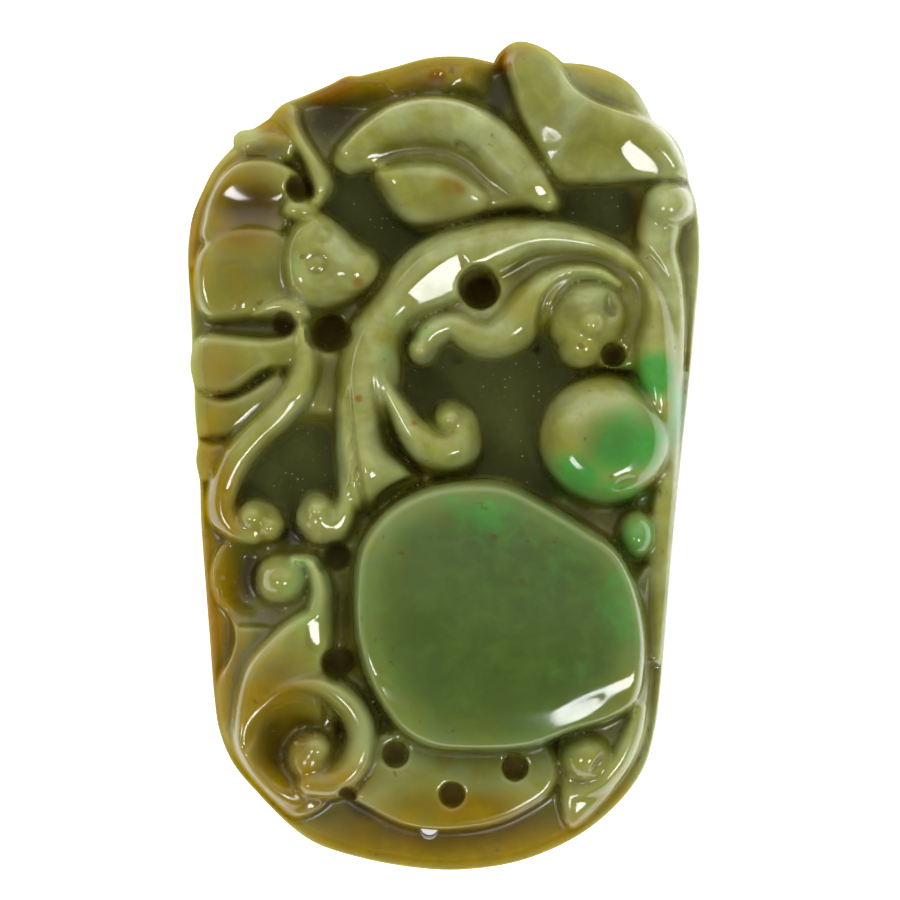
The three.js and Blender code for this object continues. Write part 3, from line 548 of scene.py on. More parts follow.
def carve_discs(r):
    """The two plain discs, the small bud beside them and the lens-shaped leaf below."""
    r.dome(14.3, -5.9, 1.5, 2, 8.5, foot=5.3)
    r.dome(12, 1.2, 5.05, 5.05, 10.3, power=4.6, fillet=0.2)
    r.facet(13.6, -2.2, 0.9, 0.6, 12, -62, 0.1)
    r.plate([(-6.9, -10), (-6.4, -6.6), (-4.7, -4.1), (-2, -2.4), (1, -1.7), (4.5, -1.8),
        (7.5, -3.2), (10.5, -5), (12.8, -6.6), (14.2, -9), (15, -12.2), (15.1, -15.5),
        (14.4, -18.6), (12.2, -20), (9.5, -20.8), (6.5, -21.9), (2.5, -22.2), (-1, -21.9),
        (-3.6, -20.4), (-5.6, -17.3), (-6.7, -13.8)], 10.6, foot=4.5, soft=0.8, crown=0.4,
        fillet=0.15, falls=[(-3.3, -17.6, -128, 0.5), (9.2, -18.8, -62, 0.5),
        (2.5, -19.4, -92, 0.5)])
    r.facet(-3.5, -18, 2.4, 0.5, -37, -135, 0.05)
    r.facet(9.5, -18.9, 2.3, 0.5, 27, -62, 0.06)
    r.ridge([(14.4, -18.8, 0.8, 8.4), (13.9, -20.6, 1, 8.4), (13, -22.6, 1.1, 8.2),
        (11.6, -24.2, 1.1, 7.9), (10, -25.2, 0.8, 7.4)], foot=5.3)
    r.dome(10.6, -22.3, 2.25, 2.25, 9, foot=5.3, fillet=0.2)
    r.facet(12, -22.3, 1.4, 0.35, 46, -50, 0.05)
    r.plate([(-7, -25.4), (-5.4, -26.5), (-3.2, -27.6), (-1, -28), (1.5, -27.95), (4, -27.5),
        (6.2, -26.5), (8, -25.2), (8.7, -23.6), (7.5, -21), (0, -20.5), (-5, -20.5),
        (-5.8, -23.6)], 7.4, foot=5.2, soft=0.6, falls=[(1, -25, -90, 0.12)])


def carve_scroll(r):
    """The S-shaped scroll at the lower left, and the volute it ends in."""
    r.plate([(-8.3, -10.6), (-9, -11), (-10.4, -11.2), (-12.2, -12.4), (-13.6, -13.8),
        (-14.7, -15.2), (-15.4, -17), (-15.8, -19.6), (-15.7, -21.4), (-14.9, -23.2),
        (-13.6, -24.8), (-12, -26.2), (-10.6, -26.6), (-9, -25), (-8.6, -20), (-8.4, -15.6),
        (-8.1, -13)], 8.7, foot=5.2, soft=0.9, tilt=(0.02, 0.05), falls=[(-9.9, -13, -20, 0.38)])
    r.facet(-14.5, -20.3, 0.5, 1.4, -12, -50, 0.1)
    r.ridge([(-11.2, -7.6, 0.4, 8.3), (-9.9, -8, 0.7, 8.8), (-9.2, -9.9, 1, 8.95),
        (-9.4, -11.6, 1.2, 8.9), (-10.2, -13.2, 1.6, 8.8)], foot=4.5, power=2.4, fillet=0.4)
    r.dome(-12, -9.2, 2.25, 2.1, 9.3, foot=4.5, fillet=0.12)
    r.dish(-11.4, -21.4, 3.6, 3.9, 2.5)
    r.ridge([(-13.6, -18.9, 0.5, 8.6), (-12.4, -17.7, 0.8, 8.85), (-10.8, -17.1, 0.95, 9),
        (-9, -17.2, 1.1, 9.1), (-7.4, -18.2, 1.3, 9.2), (-6.4, -19.6, 1.4, 9.2),
        (-6.2, -21.3, 1.35, 9.15), (-6.8, -22.9, 1.45, 9), (-8.2, -24, 1.6, 8.9),
        (-9.8, -24, 1.55, 8.85)], foot=5.2, fillet=0.15, power=2.3, lean=0.25)
    r.facet(-9.3, -13.3, 0.9, 1.2, 8, -48, 0.12)
    r.facet(-6, -22.2, 0.35, 0.9, -12, -50, 0.05)
    r.dome(-10, -22.5, 1.95, 2.1, 9.1, foot=5.5, fillet=0.3)
    r.dome(-9.5, -21.7, 1, 1, 9.4, foot=8.3, fillet=0.3)


def carve_lines(r):
    """Grooves along the folds, thin edges and drilled rings."""
    r.groove([(-5.4, 21.4, 0.3), (-4.4, 22.1, 0.55), (-2.6, 22.6, 0.7), (-0.6, 22.6, 0.7),
        (1.2, 22, 0.6), (2.6, 20.9, 0.5), (3.6, 19.7, 0.2)], 0.4)
    r.groove([(-7, 6, 0.05), (-6.9, 3, 0.4), (-6.6, 0, 0.5), (-6, -3, 0.5), (-5.6, -4.4, 0.4)],
        0.9)
    r.groove([(-5.3, 6.4, 0.05), (-5.1, 4.4, 0.35), (-4.5, 2.4, 0.5), (-3.4, 0.4, 0.55),
        (-2, -1.2, 0.5)], 1)
    r.groove([(7, 8, 0.5), (7.1, 9.8, 0.55), (7.5, 11.6, 0.5), (8.5, 12.8, 0.4),
        (10, 13.35, 0.25), (11.6, 13.3, 0.1)], 1)
    r.groove([(0.3, 9.2, 0.05), (0.6, 8.3, 0.45), (1, 7.3, 0.6)], 0.7)
    r.groove([(-17.3, 4.4, 0.1), (-15.5, 4.5, 0.25), (-13.6, 5.8, 0.35), (-12.2, 7.2, 0.1)], 0.4)
    r.groove([(-17, 14, 0.05), (-15.8, 14.25, 0.16), (-14.4, 14.5, 0.05)], 0.15)
    r.groove([(18, 13.4, 0.1), (18.1, 10, 0.2), (17.95, 5, 0.2), (17.5, 0, 0.15),
        (16.9, -6, 0.1)], 0.2)
    r.groove([(14.2, 15.9, 0.3), (15.6, 14.5, 0.4), (16.7, 12.8, 0.35), (17.3, 10.6, 0.15)], 0.5)
    r.ring(-8.85, 16.3, 0.6, 0.22, 0.22)
    r.ring(-9.4, 14.1, 0.66, 0.22, 0.25)


# x, y, radius, and the level of the bottom above the back.
PITS = [
    (-10.7, 19.9, 0.95, 6.4), (-12, 9.7, 0.85, 6.2), (-8.5, 9.2, 1.2, 3.6),
    (2.7, 12.3, 1.1, 4.2), (12.6, 7.4, 0.75, 5.8), (-8, -7.6, 0.95, 3.85),
    (-7.7, -15.4, 0.95, 3.85),
    (-3.6, -22.2, 0.9, 6), (0.6, -25.2, 0.9, 6.15), (5.3, -23.2, 0.9, 6.15),
    (-7.1, -25.3, 0.5, 5.6),
]


def drill_pits(r):
    for pit in PITS:
        r.pit(*pit)


def waviness(r, amount, wavelength, seed):
    """The slight unevenness of a surface that is shaped and polished by hand."""
    rough = np.random.default_rng(seed).standard_normal(r.Z.shape)
    bell = wavelength / (2 * math.pi * r.step) * 1.6  # a little wide, so no finer wave is left
    wave = blurred(rough, bell)
    return wave * (amount / wave.std())


def relief():
    """The whole carved side, and the distance of each sample inside the outline."""
    r = Relief(*RASTER_HALF, RASTER_STEP)
    loop = np.vstack([smooth_line(rows)[:-1] for rows in OUTLINE])
    edge, _ = r.region(loop, (slice(None), slice(None)))
    for step in (carve_ground, carve_wing, carve_head, carve_leaves, carve_stem, carve_cloud,
                 carve_discs, carve_scroll, carve_lines):
        step(r)
    r.Z += waviness(r, amount=0.03, wavelength=4.5, seed=7)
    r.Z = blurred(r.Z, 1.3)
    drill_pits(r)
    r.Z = blurred(r.Z, 0.7)
    inward = np.clip(edge / SHOULDER_WIDTH, 0, 1)
    rounding = BELT + SHOULDER_RISE * np.sqrt(1 - (1 - inward) ** 2)
    r.Z = np.clip(soft_min(r.Z, rounding, SHOULDER_FILLET), 0, CEILING)
    r.edge = edge
    return r


# --- the mesh ---------------------------------------------------------------------------------


def plan_grid(r, spacing, rim):
    """Points of a square net inside the outline less a rim, its border moved onto that line,
    and its squares. The net's lines crowd towards the steep walls."""
    nx, ny = (int(2 * half / spacing) + 1 for half in NET_HALF)
    x, y = np.meshgrid(np.linspace(-NET_HALF[0], NET_HALF[0], nx),
                       np.linspace(-NET_HALF[1], NET_HALF[1], ny))
    dy, dx = np.gradient(r.edge, r.step)
    kept = r.at(r.edge, x, y) > rim - 0.45 * spacing
    cells = kept[:-1, :-1] & kept[:-1, 1:] & kept[1:, :-1] & kept[1:, 1:]
    for _ in range(3):  # drop squares that hang on by a corner or one side
        wide = np.pad(cells, 1)
        sides = wide[:-2, 1:-1].astype(int) + wide[2:, 1:-1] + wide[1:-1, :-2] + wide[1:-1, 2:]
        cells &= sides >= 2
    used = np.zeros(x.shape, bool)
    count = np.zeros(x.shape, int)
    for j in (0, 1):
        for i in (0, 1):
            view = (slice(j, ny - 1 + j), slice(i, nx - 1 + i))
            used[view] |= cells
            count[view] += cells
    border = used & (count < 4)
    inner = used & ~border

    def onto_rim():
        for _ in range(3):
            gx, gy = r.at(dx, x[border], y[border]), r.at(dy, x[border], y[border])
            off = (rim - r.at(r.edge, x[border], y[border])) / np.maximum(np.hypot(gx, gy), 0.3)
            size = np.maximum(np.hypot(gx, gy), 1e-6)
            x[border] += off * gx / size
            y[border] += off * gy / size

    onto_rim()
    gy, gx = np.gradient(blurred(r.Z, 1.5), r.step)
    pull_field = np.clip(np.hypot(gx, gy), 0, 3.0)
    for _ in range(NET_ROUNDS):
        weight = 1 + 0.9 * r.at(pull_field, x, y)
        weight = np.where(used, weight, 0)
        total = np.zeros(x.shape)
        sx, sy = np.zeros(x.shape), np.zeros(x.shape)
        for axis, way in ((0, 1), (0, -1), (1, 1), (1, -1)):
            w = np.roll(weight, way, axis)
            total += w
            sx += w * np.roll(x, way, axis)
            sy += w * np.roll(y, way, axis)
        total = np.maximum(total, 1e-9)
        x = np.where(inner, 0.5 * x + 0.5 * sx / total, x)
        y = np.where(inner, 0.5 * y + 0.5 * sy / total, y)
    number = np.full(x.shape, -1)
    number[used] = np.arange(used.sum())
    j, i = np.nonzero(cells)
    quads = np.stack([number[j, i], number[j, i + 1], number[j + 1, i + 1], number[j + 1, i]], 1)
    return x[used], y[used], quads


def border_loop(quads):
    """The numbers of the points round the edge of a net of squares, in order."""
    edges = np.vstack([quads[:, [k, (k + 1) % 4]] for k in range(4)])
    there = {(a, b) for a, b in edges.tolist()}
    onward = {a: b for a, b in there if (b, a) not in there}
    start = min(onward)
    loop = [start]
    while onward[loop[-1]] != start:
        loop.append(onward[loop[-1]])
    if len(loop) != len(onward):
        raise ValueError("the carving's upper side has more than one border")
    return loop


def stone_mesh(r, spacing, rim, plan, rise):
    """Points, in metres, and faces of the whole stone."""
    x, y, quads = plan_grid(r, spacing, rim)
    z = r.at(r.Z, x, y)
    loop = border_loop(quads)
    faces = quads.tolist()
    px, py, pz = [x], [y], [z]
    dy, dx = np.gradient(blurred(r.edge, 2.0), r.step)
    bx, by, bz = x[loop], y[loop], z[loop]
    gx, gy = r.at(dx, bx, by), r.at(dy, bx, by)
    size = np.maximum(np.hypot(gx, gy), 1e-6)
    out = r.at(r.edge, bx, by)
    ox, oy = bx - out * gx / size, by - out * gy / size
    rings = [loop]
    total = len(x)

    def add_ring(rx, ry, rz):
        nonlocal total
        px.append(rx)
        py.append(ry)
        pz.append(rz)
        rings.append(list(range(total, total + len(loop))))
        total += len(loop)

    for turn in (18, 36, 54, 72, 90):  # the shoulder, from the upper side down to the belt
        c, s = math.cos(math.radians(turn)), math.sin(math.radians(turn))
        add_ring(bx + (ox - bx) * s, by + (oy - by) * s, BELT + (bz - BELT) * c)
    for height, inset in UNDERSIDE:
        add_ring(ox * (1 - inset / HALF_WIDTH), oy * (1 - inset / HALF_LENGTH),
                 np.full(len(loop), height))
    for upper, lower in zip(rings[:-1], rings[1:]):
        for k in range(len(loop)):
            n = (k + 1) % len(loop)
            faces.append((upper[n], upper[k], lower[k], lower[n]))
    faces.append(list(reversed(rings[-1])))
    points = np.stack([np.concatenate(px), np.concatenate(py), np.concatenate(pz)], 1)
    return points * np.array([plan, plan, rise]) * MM, faces


def new_mesh_object(name, points, faces):
    """A linked object with one clean mesh: no doubled points, all faces outward."""
    mesh = bpy.data.meshes.new(name)
    mesh.from_pydata(points.tolist(), [], faces)
    bm = bmesh.new()
    bm.from_mesh(mesh)
    bmesh.ops.remove_doubles(bm, verts=bm.verts, dist=MERGED * MM)
    bmesh.ops.dissolve_degenerate(bm, edges=bm.edges, dist=SLIVER * MM)
    bmesh.ops.recalc_face_normals(bm, faces=bm.faces)
    bm.to_mesh(mesh)
    bm.free()
    mesh.validate()
    piece = bpy.data.objects.new(name, mesh)
    bpy.context.scene.collection.objects.link(piece)
    return piece


# --- colour zones -----------------------------------------------------------------------------

# Each zone is a set of soft ovals in the plan: x, y, radius across, radius along, turn, strength.
GREEN = [
    (13.4, 0.9, 4, 2.6, 22, 1), (9.6, -1.4, 3, 2.2, -20, 0.9),
    (13, -2.8, 3.4, 1.6, 0, 0.8), (15.6, 6, 2.1, 1.9, 0, 1), (13.4, 6.8, 1.8, 1, 0, 0.6),
    (17.3, 3.6, 0.8, 3, 0, 0.8), (14.3, -6, 1.9, 2.2, 0, 0.75),
    (3, -4.6, 4, 2, 0, 0.6), (12.5, -10.6, 2.8, 3.6, 0, 0.55),
    (5.5, -8, 5, 3, -10, 0.4), (9, -15.5, 3, 2, 20, 0.3),
    (-1.5, 8.6, 1.6, 1.8, 0, 0.35), (0.4, -0.2, 2.4, 1.4, 0, 0.3),
    (-1, 22.8, 4, 0.9, 0, 0.3), (-12, -9, 2.3, 2.2, 0, 0.45),
    (-10.2, -12.8, 2, 2.4, -20, 0.4), (-11.2, 14.2, 1.3, 2.2, 0, 0.35),
    (-3.8, 9, 1.3, 4.6, -15, 0.4), (-10, 11.6, 2.2, 0.9, 0, 0.3),
    (12, 12.8, 2.6, 1.2, -20, 0.3),
]
DEEP = [
    (4, -12, 12.5, 11, 0, 0.95), (2.5, -6, 9, 4.6, 0, 0.6),
]
OCHRE = [
    (0, -29, 15, 3.6, 0, 1), (-14, -25, 5, 6, 30, 1),
    (-4, 28.4, 10, 2.2, 8, 1), (-12.2, 24.8, 2.2, 2.2, 0, 0.8),
    (-15.5, 18.5, 4.6, 4.8, 0, 0.85), (-16.2, 12.8, 3.4, 4.2, 0, 0.6),
    (-16.6, 6.8, 3.4, 3.4, 0, 0.6), (-16.8, 2.6, 2.6, 2.6, 0, 0.6),
    (-18.4, 16, 1.2, 7, -8, 1), (-17, -8, 2.4, 16, 2, 1),
    (-12.5, -20, 5, 7, 0, 0.8), (-9, -24.4, 4.5, 3, 0, 0.75),
    (12.6, -26.4, 5, 2.2, 40, 0.6), (0.6, 19.9, 1.6, 1.1, 0, 0.7),
    (-0.5, 18.4, 3, 1.1, 0, 0.45), (-5.4, 24, 0.8, 0.8, 0, 0.5),
    (-12.6, 3.4, 3.2, 3, 45, 0.35), (-15.9, -3, 1.6, 3.6, 0, 0.5),
    (-13.8, -5.2, 2.6, 2, 0, 0.5), (-9.2, -5.6, 2.2, 1.6, 0, 0.35),
    (5.4, 11.2, 1.4, 1.6, 0, 0.5), (8, 9.6, 1, 2.4, 0, 0.35), (1, -26.4, 7.5, 2, 0, 0.9),
    (13.2, -17.6, 1.6, 1.6, 0, 0.6), (10.6, -22.6, 2.6, 2.6, 0, 0.4),
    (11.5, 28.6, 4.4, 1.4, -18, 0.6), (5.6, 30.3, 2.4, 1, 0, 0.7),
    (14.2, 17.6, 0.9, 2.6, 0, 0.7), (9.6, 5.2, 2.8, 1.8, 0, 0.3),
]
RUSSET = [
    (-17.6, -12, 1.2, 9, 3, 0.95), (-8.2, 27, 2.4, 1.2, 25, 1),
    (4.3, 29.3, 0.9, 1.8, 0, 1), (-18.9, 17, 1, 7, -8, 0.8),
    (-13.2, 24.9, 0.9, 1, 0, 0.6), (-1, -28.8, 3, 1, 0, 0.55),
    (0.6, -26.6, 2.2, 0.9, 0, 0.55), (-0.5, 28.1, 0.95, 0.95, 0, 0.9),
    (1.2, 19.9, 0.8, 0.9, 0, 0.6), (-6.3, 4.2, 0.45, 0.45, 0, 0.9),
    (-2.2, 2.4, 0.4, 0.3, 0, 0.9), (-6.3, 12.8, 0.6, 0.45, 0, 0.9),
    (2.4, 22.6, 0.5, 0.8, -40, 0.5), (13, -28, 3, 1, 30, 0.5),
]
UMBER = [
    (-8.3, 25.2, 2.6, 1.5, 20, 0.9), (4, 26.9, 0.9, 2.2, 0, 0.9),
    (-14.3, 18.7, 3.6, 1.9, 0, 0.7), (-13.2, 22.7, 2.2, 0.7, 0, 0.6),
    (-10.7, 19.9, 0.9, 0.9, 0, 0.8), (-12, 9.7, 1, 0.9, 0, 0.7),
    (-13, -21.6, 1.7, 3, 0, 0.7), (-9, -20.2, 2.6, 1.2, -20, 0.6),
    (-14.4, -9, 1.1, 2, 0, 1), (-13.2, -12.6, 1.6, 2.6, -40, 0.5),
    (-11.3, -5.9, 1.2, 0.9, 0, 0.9), (13.4, 18.2, 1.6, 2, 0, 0.6),
    (-6.4, -26.3, 1.6, 0.8, -30, 0.7), (-15.8, -14, 1.2, 3.6, 0, 0.4),
    (-12, -15.4, 2.4, 1.4, 30, 0.4),
]


def zone(ovals, x, y):
    """How strongly each point lies in a zone, 0 to 1."""
    total = np.zeros(len(x))
    for cx, cy, rx, ry, turn, strength in ovals:
        c, s = math.cos(math.radians(turn)), math.sin(math.radians(turn))
        u = (c * (x - cx) + s * (y - cy)) / rx
        v = (-s * (x - cx) + c * (y - cy)) / ry
        total = np.maximum(total, strength * np.clip(1.35 - np.hypot(u, v) * 0.9, 0, 1))
    return total


def tint_points(piece, r, plan, rise):
    """Writes the colour zones and the state of the surface onto the points of the stone."""
    mesh = piece.data
    co = np.empty(len(mesh.vertices) * 3)
    mesh.vertices.foreach_get("co", co)
    x, y, z = (co.reshape(-1, 3) / MM / np.array([plan, plan, rise])).T
    level = r.at(blurred(r.Z, 1.5), x, y)
    swell = r.at(r.Z - blurred(r.Z, 5.0), x, y)
    upper = fade(z, BELT - 0.6, BELT + 0.4)
    marks = {
        "green": zone(GREEN, x, y),
        "deep": zone(DEEP, x, y) * fade(level, 5.6, 7.4),
        "ochre": zone(OCHRE, x, y),
        "russet": zone(RUSSET, x, y),
        "umber": zone(UMBER, x, y),
        "floor": r.at(blurred(r.dull, 1.5), x, y) * fade(level, 5.2, 4.4) * upper,
        "drilled": r.at(blurred(r.drilled, 1.0), x, y),
        "rim": np.maximum(fade(r.at(r.edge, x, y), 1.3, 0.5), 1 - upper) * fade(x, 16.5, 13.0),
        # lift drives the painted shade in creases and the painted light on crests; edge_light
        # drives the painted glow of thin crests, and the gloss.
        "lift": np.clip(r.at(r.Z - blurred(r.Z, 16.0), x, y) / 1.4, -1, 1) * upper,
        "edge_light": np.clip(swell / 0.5, -1, 1) * upper,
    }
    for name, values in marks.items():
        mark = mesh.attributes.new(name, "FLOAT", "POINT")
        mark.data.foreach_set("value", values.astype(np.float32))


# --- nodes ------------------------------------------------------------------------------------


def to_linear(colour):
    """Scene colour of an sRGB hex value."""
    parts = [int(colour[i : i + 2], 16) / 255 for i in (1, 3, 5)]
    return [c / 12.92 if c <= 0.04045 else ((c + 0.055) / 1.055) ** 2.4 for c in parts]


def add_node(tree, kind, settings=None, inputs=None):
    """Adds a node. An input is a value, or the output socket that feeds it."""
    node = tree.nodes.new(kind)
    for name, value in (settings or {}).items():
        setattr(node, name, value)
    for name, value in (inputs or {}).items():
        if isinstance(value, bpy.types.NodeSocket):
            tree.links.new(value, node.inputs[name])
        else:
            node.inputs[name].default_value = value
    return node


def new_tree(material):
    material.use_nodes = True
    material.node_tree.nodes.clear()
    return material.node_tree


def polished_jadeite(sizes):
    """Jadeite, ground and polished to a wet gloss. Light sinks a little way in and spreads, so
    its shadows are soft and thin edges glow; crests are also painted paler, as painted light,
    and creases darker, as painted shade. The colour runs from sage through olive to ochre
    and russet where iron has stained it, with emerald where there is chromium. Deep ground
    can't be reached by the polishing wheel, so it stays dull and dark, with pale specks
    painted on it as glints of light off its crystal grains."""
    material = bpy.data.materials.new("jadeite, hand polished")
    tree = new_tree(material)
    place = add_node(tree, "ShaderNodeTexCoord").outputs["Object"]
    place = add_node(tree, "ShaderNodeMapping", inputs={
        "Vector": place, "Scale": (1 / MM, 1 / MM, 1 / MM)}).outputs["Vector"]  # now in mm

    def noise(size_mm, detail=3.0, rough=0.55, warp=0.0):
        return add_node(tree, "ShaderNodeTexNoise", inputs={
            "Vector": place, "Scale": 1 / size_mm, "Detail": detail, "Roughness": rough,
            "Distortion": warp}).outputs["Fac"]

    def math_node(kind, a, b=0.0, c=0.0, clamp=False):
        return add_node(tree, "ShaderNodeMath", {"operation": kind, "use_clamp": clamp},
                        {0: a, 1: b, 2: c}).outputs[0]

    def stretch(value, low, high, to_low=0.0, to_high=1.0):
        return add_node(tree, "ShaderNodeMapRange", {"interpolation_type": "SMOOTHSTEP"}, {
            "Value": value, "From Min": low, "From Max": high, "To Min": to_low,
            "To Max": to_high}).outputs["Result"]

    def mark(name):
        return add_node(tree, "ShaderNodeAttribute", {"attribute_name": name}).outputs["Fac"]

    def mix(factor, a, b, kind="MIX"):
        node = add_node(tree, "ShaderNodeMix", {"data_type": "RGBA", "blend_type": kind})
        for socket, value in ((0, factor), (6, a), (7, b)):
            if isinstance(value, bpy.types.NodeSocket):
                tree.links.new(value, node.inputs[socket])
            else:
                node.inputs[socket].default_value = value
        return node.outputs[2]

    def colour(name):
        return (*getattr(sizes, name), 1)

    clouds = noise(5.0, 3.0, 0.5, 0.6)
    mottle = noise(1.6, 4.0, 0.6, 0.4)
    grain = noise(0.35, 3.0, 0.6)

    def zone_mask(name, low, high, wander):
        spread = math_node("MULTIPLY_ADD", math_node("SUBTRACT", clouds, 0.5), wander, mark(name))
        spread = math_node(
            "MULTIPLY_ADD", math_node("SUBTRACT", mottle, 0.5), wander * 0.6, spread)
        return stretch(spread, low, high)

    base = mix(stretch(clouds, 0.35, 0.7), colour("olive"), colour("sage"))
    base = mix(zone_mask("ochre", 0.2, 0.95, 0.9), base, colour("ochre"))
    base = mix(zone_mask("deep", 0.15, 0.8, 0.5), base, colour("deep_green"))
    base = mix(zone_mask("green", 0.25, 0.95, 0.9), base, colour("emerald"))
    base = mix(zone_mask("russet", 0.35, 1.0, 1.0), base, colour("russet"))
    spots = stretch(noise(1.1, 2.0, 0.5), 0.69, 0.76)
    base = mix(math_node("MULTIPLY", spots, 0.5), base, colour("iron"))
    stain = math_node("MULTIPLY", zone_mask("umber", 0.2, 1.0, 0.4), 0.8)
    base = mix(stain, base, colour("umber"))
    veil = stretch(mottle, 0.3, 0.75, 0.86, 1.12)
    base = mix(1.0, base, add_node(tree, "ShaderNodeCombineColor", inputs={
        "Red": veil, "Green": veil, "Blue": veil}).outputs["Color"], "MULTIPLY")
    # Painted light: crests that stand above their near surroundings are made paler, as the glow of
    # light coming through thin edges.
    crests = stretch(mark("edge_light"), 0.1, 0.9, 0.0, 0.15)
    base = mix(crests, base, colour("painted_crest_glow"))
    # Painted shade and light: where the surface lies below its wide surroundings, in creases and
    # at the foot of walls, the colour is darkened and yellowed; where it stands above them it is
    # lightened.
    shade = mix(stretch(mark("lift"), -0.55, 0.6), (0.5, 0.47, 0.22, 1), (1.08, 1.09, 1.2, 1))
    base = mix(1.0, base, shade, "MULTIPLY")
    floor = mark("floor")
    base = mix(math_node("MULTIPLY", mark("drilled"), 0.75), base, colour("umber"))
    base = mix(math_node("MULTIPLY", floor, 0.9), base, colour("recess"))
    # Painted highlight: small pale specks on the deep ground and in the hollows stand in for
    # glints of light off its crystal grains.
    cells = add_node(tree, "ShaderNodeTexVoronoi", inputs={"Vector": place, "Scale": 1 / 0.42})
    chance = add_node(tree, "ShaderNodeSeparateColor", inputs={
        "Color": cells.outputs["Color"]}).outputs["Red"]
    hollow = math_node("MULTIPLY", stretch(mark("lift"), -0.15, -0.5), 0.6)
    sparkle = stretch(cells.outputs["Distance"], 0.2, 0.1)
    sparkle = math_node("MULTIPLY", sparkle, math_node("MAXIMUM", floor, hollow))
    sparkle = math_node("MULTIPLY", sparkle, stretch(chance, 0.6, 1.0))
    base = mix(math_node("MULTIPLY", sparkle, 0.8), base, colour("painted_glint"))

    gloss = stretch(clouds, 0.45, 0.62, 0.1, 0.2)
    gloss = math_node("MULTIPLY_ADD", stretch(mark("edge_light"), 0.0, -0.5), 0.2, gloss)
    dull = math_node("MAXIMUM", floor, math_node("MULTIPLY", mark("drilled"), 0.8))
    dull = math_node("MAXIMUM", dull, mark("rim"))
    gloss = math_node("MULTIPLY_ADD", dull, 0.42, gloss)
    coarse = add_node(tree, "ShaderNodeBump", inputs={
        "Strength": 0.2, "Distance": 0.05 * MM, "Height": math_node("MULTIPLY", grain, floor)})
    fine = add_node(tree, "ShaderNodeBump", inputs={
        "Strength": 0.05, "Distance": 0.03 * MM, "Height": noise(0.9, 2.0),
        "Normal": coarse.outputs[0]})
    polish = add_node(tree, "ShaderNodeBump", inputs={
        "Strength": 0.12, "Distance": 0.012 * MM, "Height": noise(0.22, 2.0),
        "Normal": fine.outputs[0]})
    shader = add_node(tree, "ShaderNodeBsdfPrincipled", inputs={
        "Base Color": base, "Roughness": gloss, "IOR": 1.66, "Subsurface Weight": 0.75,
        "Subsurface Radius": (1.0, 1.0, 0.45), "Subsurface Scale": 1.0 * MM,
        "Specular IOR Level": stretch(dull, 0.0, 1.0, 0.5, 0.0), "Normal": polish.outputs[0]})
    out = add_node(tree, "ShaderNodeOutputMaterial")
    tree.links.new(shader.outputs[0], out.inputs["Surface"])
    return material


def white_card():
    """Matt white card, as on a studio table: no gloss, an even pale tone."""
    material = bpy.data.materials.new("white card, matt")
    tree = new_tree(material)
    shader = add_node(tree, "ShaderNodeBsdfPrincipled", inputs={
        "Base Color": (*to_linear("#f6f6f4"), 1), "Roughness": 0.9,
        "Emission Color": (1, 1, 1, 1), "Emission Strength": 0.7})
    out = add_node(tree, "ShaderNodeOutputMaterial")
    tree.links.new(shader.outputs[0], out.inputs["Surface"])
    return material


def soft_room(top_light, fill_light):
    """The light of a room with one tall window far off beyond the top: bright that way, and
    fading smoothly to a dim even light all round."""
    world = bpy.data.worlds.new("studio")
    world.use_nodes = True
    tree = world.node_tree
    tree.nodes.clear()
    way = add_node(tree, "ShaderNodeTexCoord").outputs["Generated"]
    window = (0.0, 0.94, 0.34)
    towards = add_node(tree, "ShaderNodeVectorMath", {"operation": "DOT_PRODUCT"}, {
        0: way, 1: window}).outputs["Value"]
    strength = add_node(tree, "ShaderNodeMapRange", {"interpolation_type": "SMOOTHSTEP"}, {
        "Value": towards, "From Min": 0.1, "From Max": 0.95, "To Min": fill_light,
        "To Max": top_light}).outputs["Result"]
    back = add_node(tree, "ShaderNodeBackground", inputs={
        "Color": (1, 1, 1, 1), "Strength": strength})
    out = add_node(tree, "ShaderNodeOutputWorld")
    tree.links.new(back.outputs[0], out.inputs["Surface"])
    return world


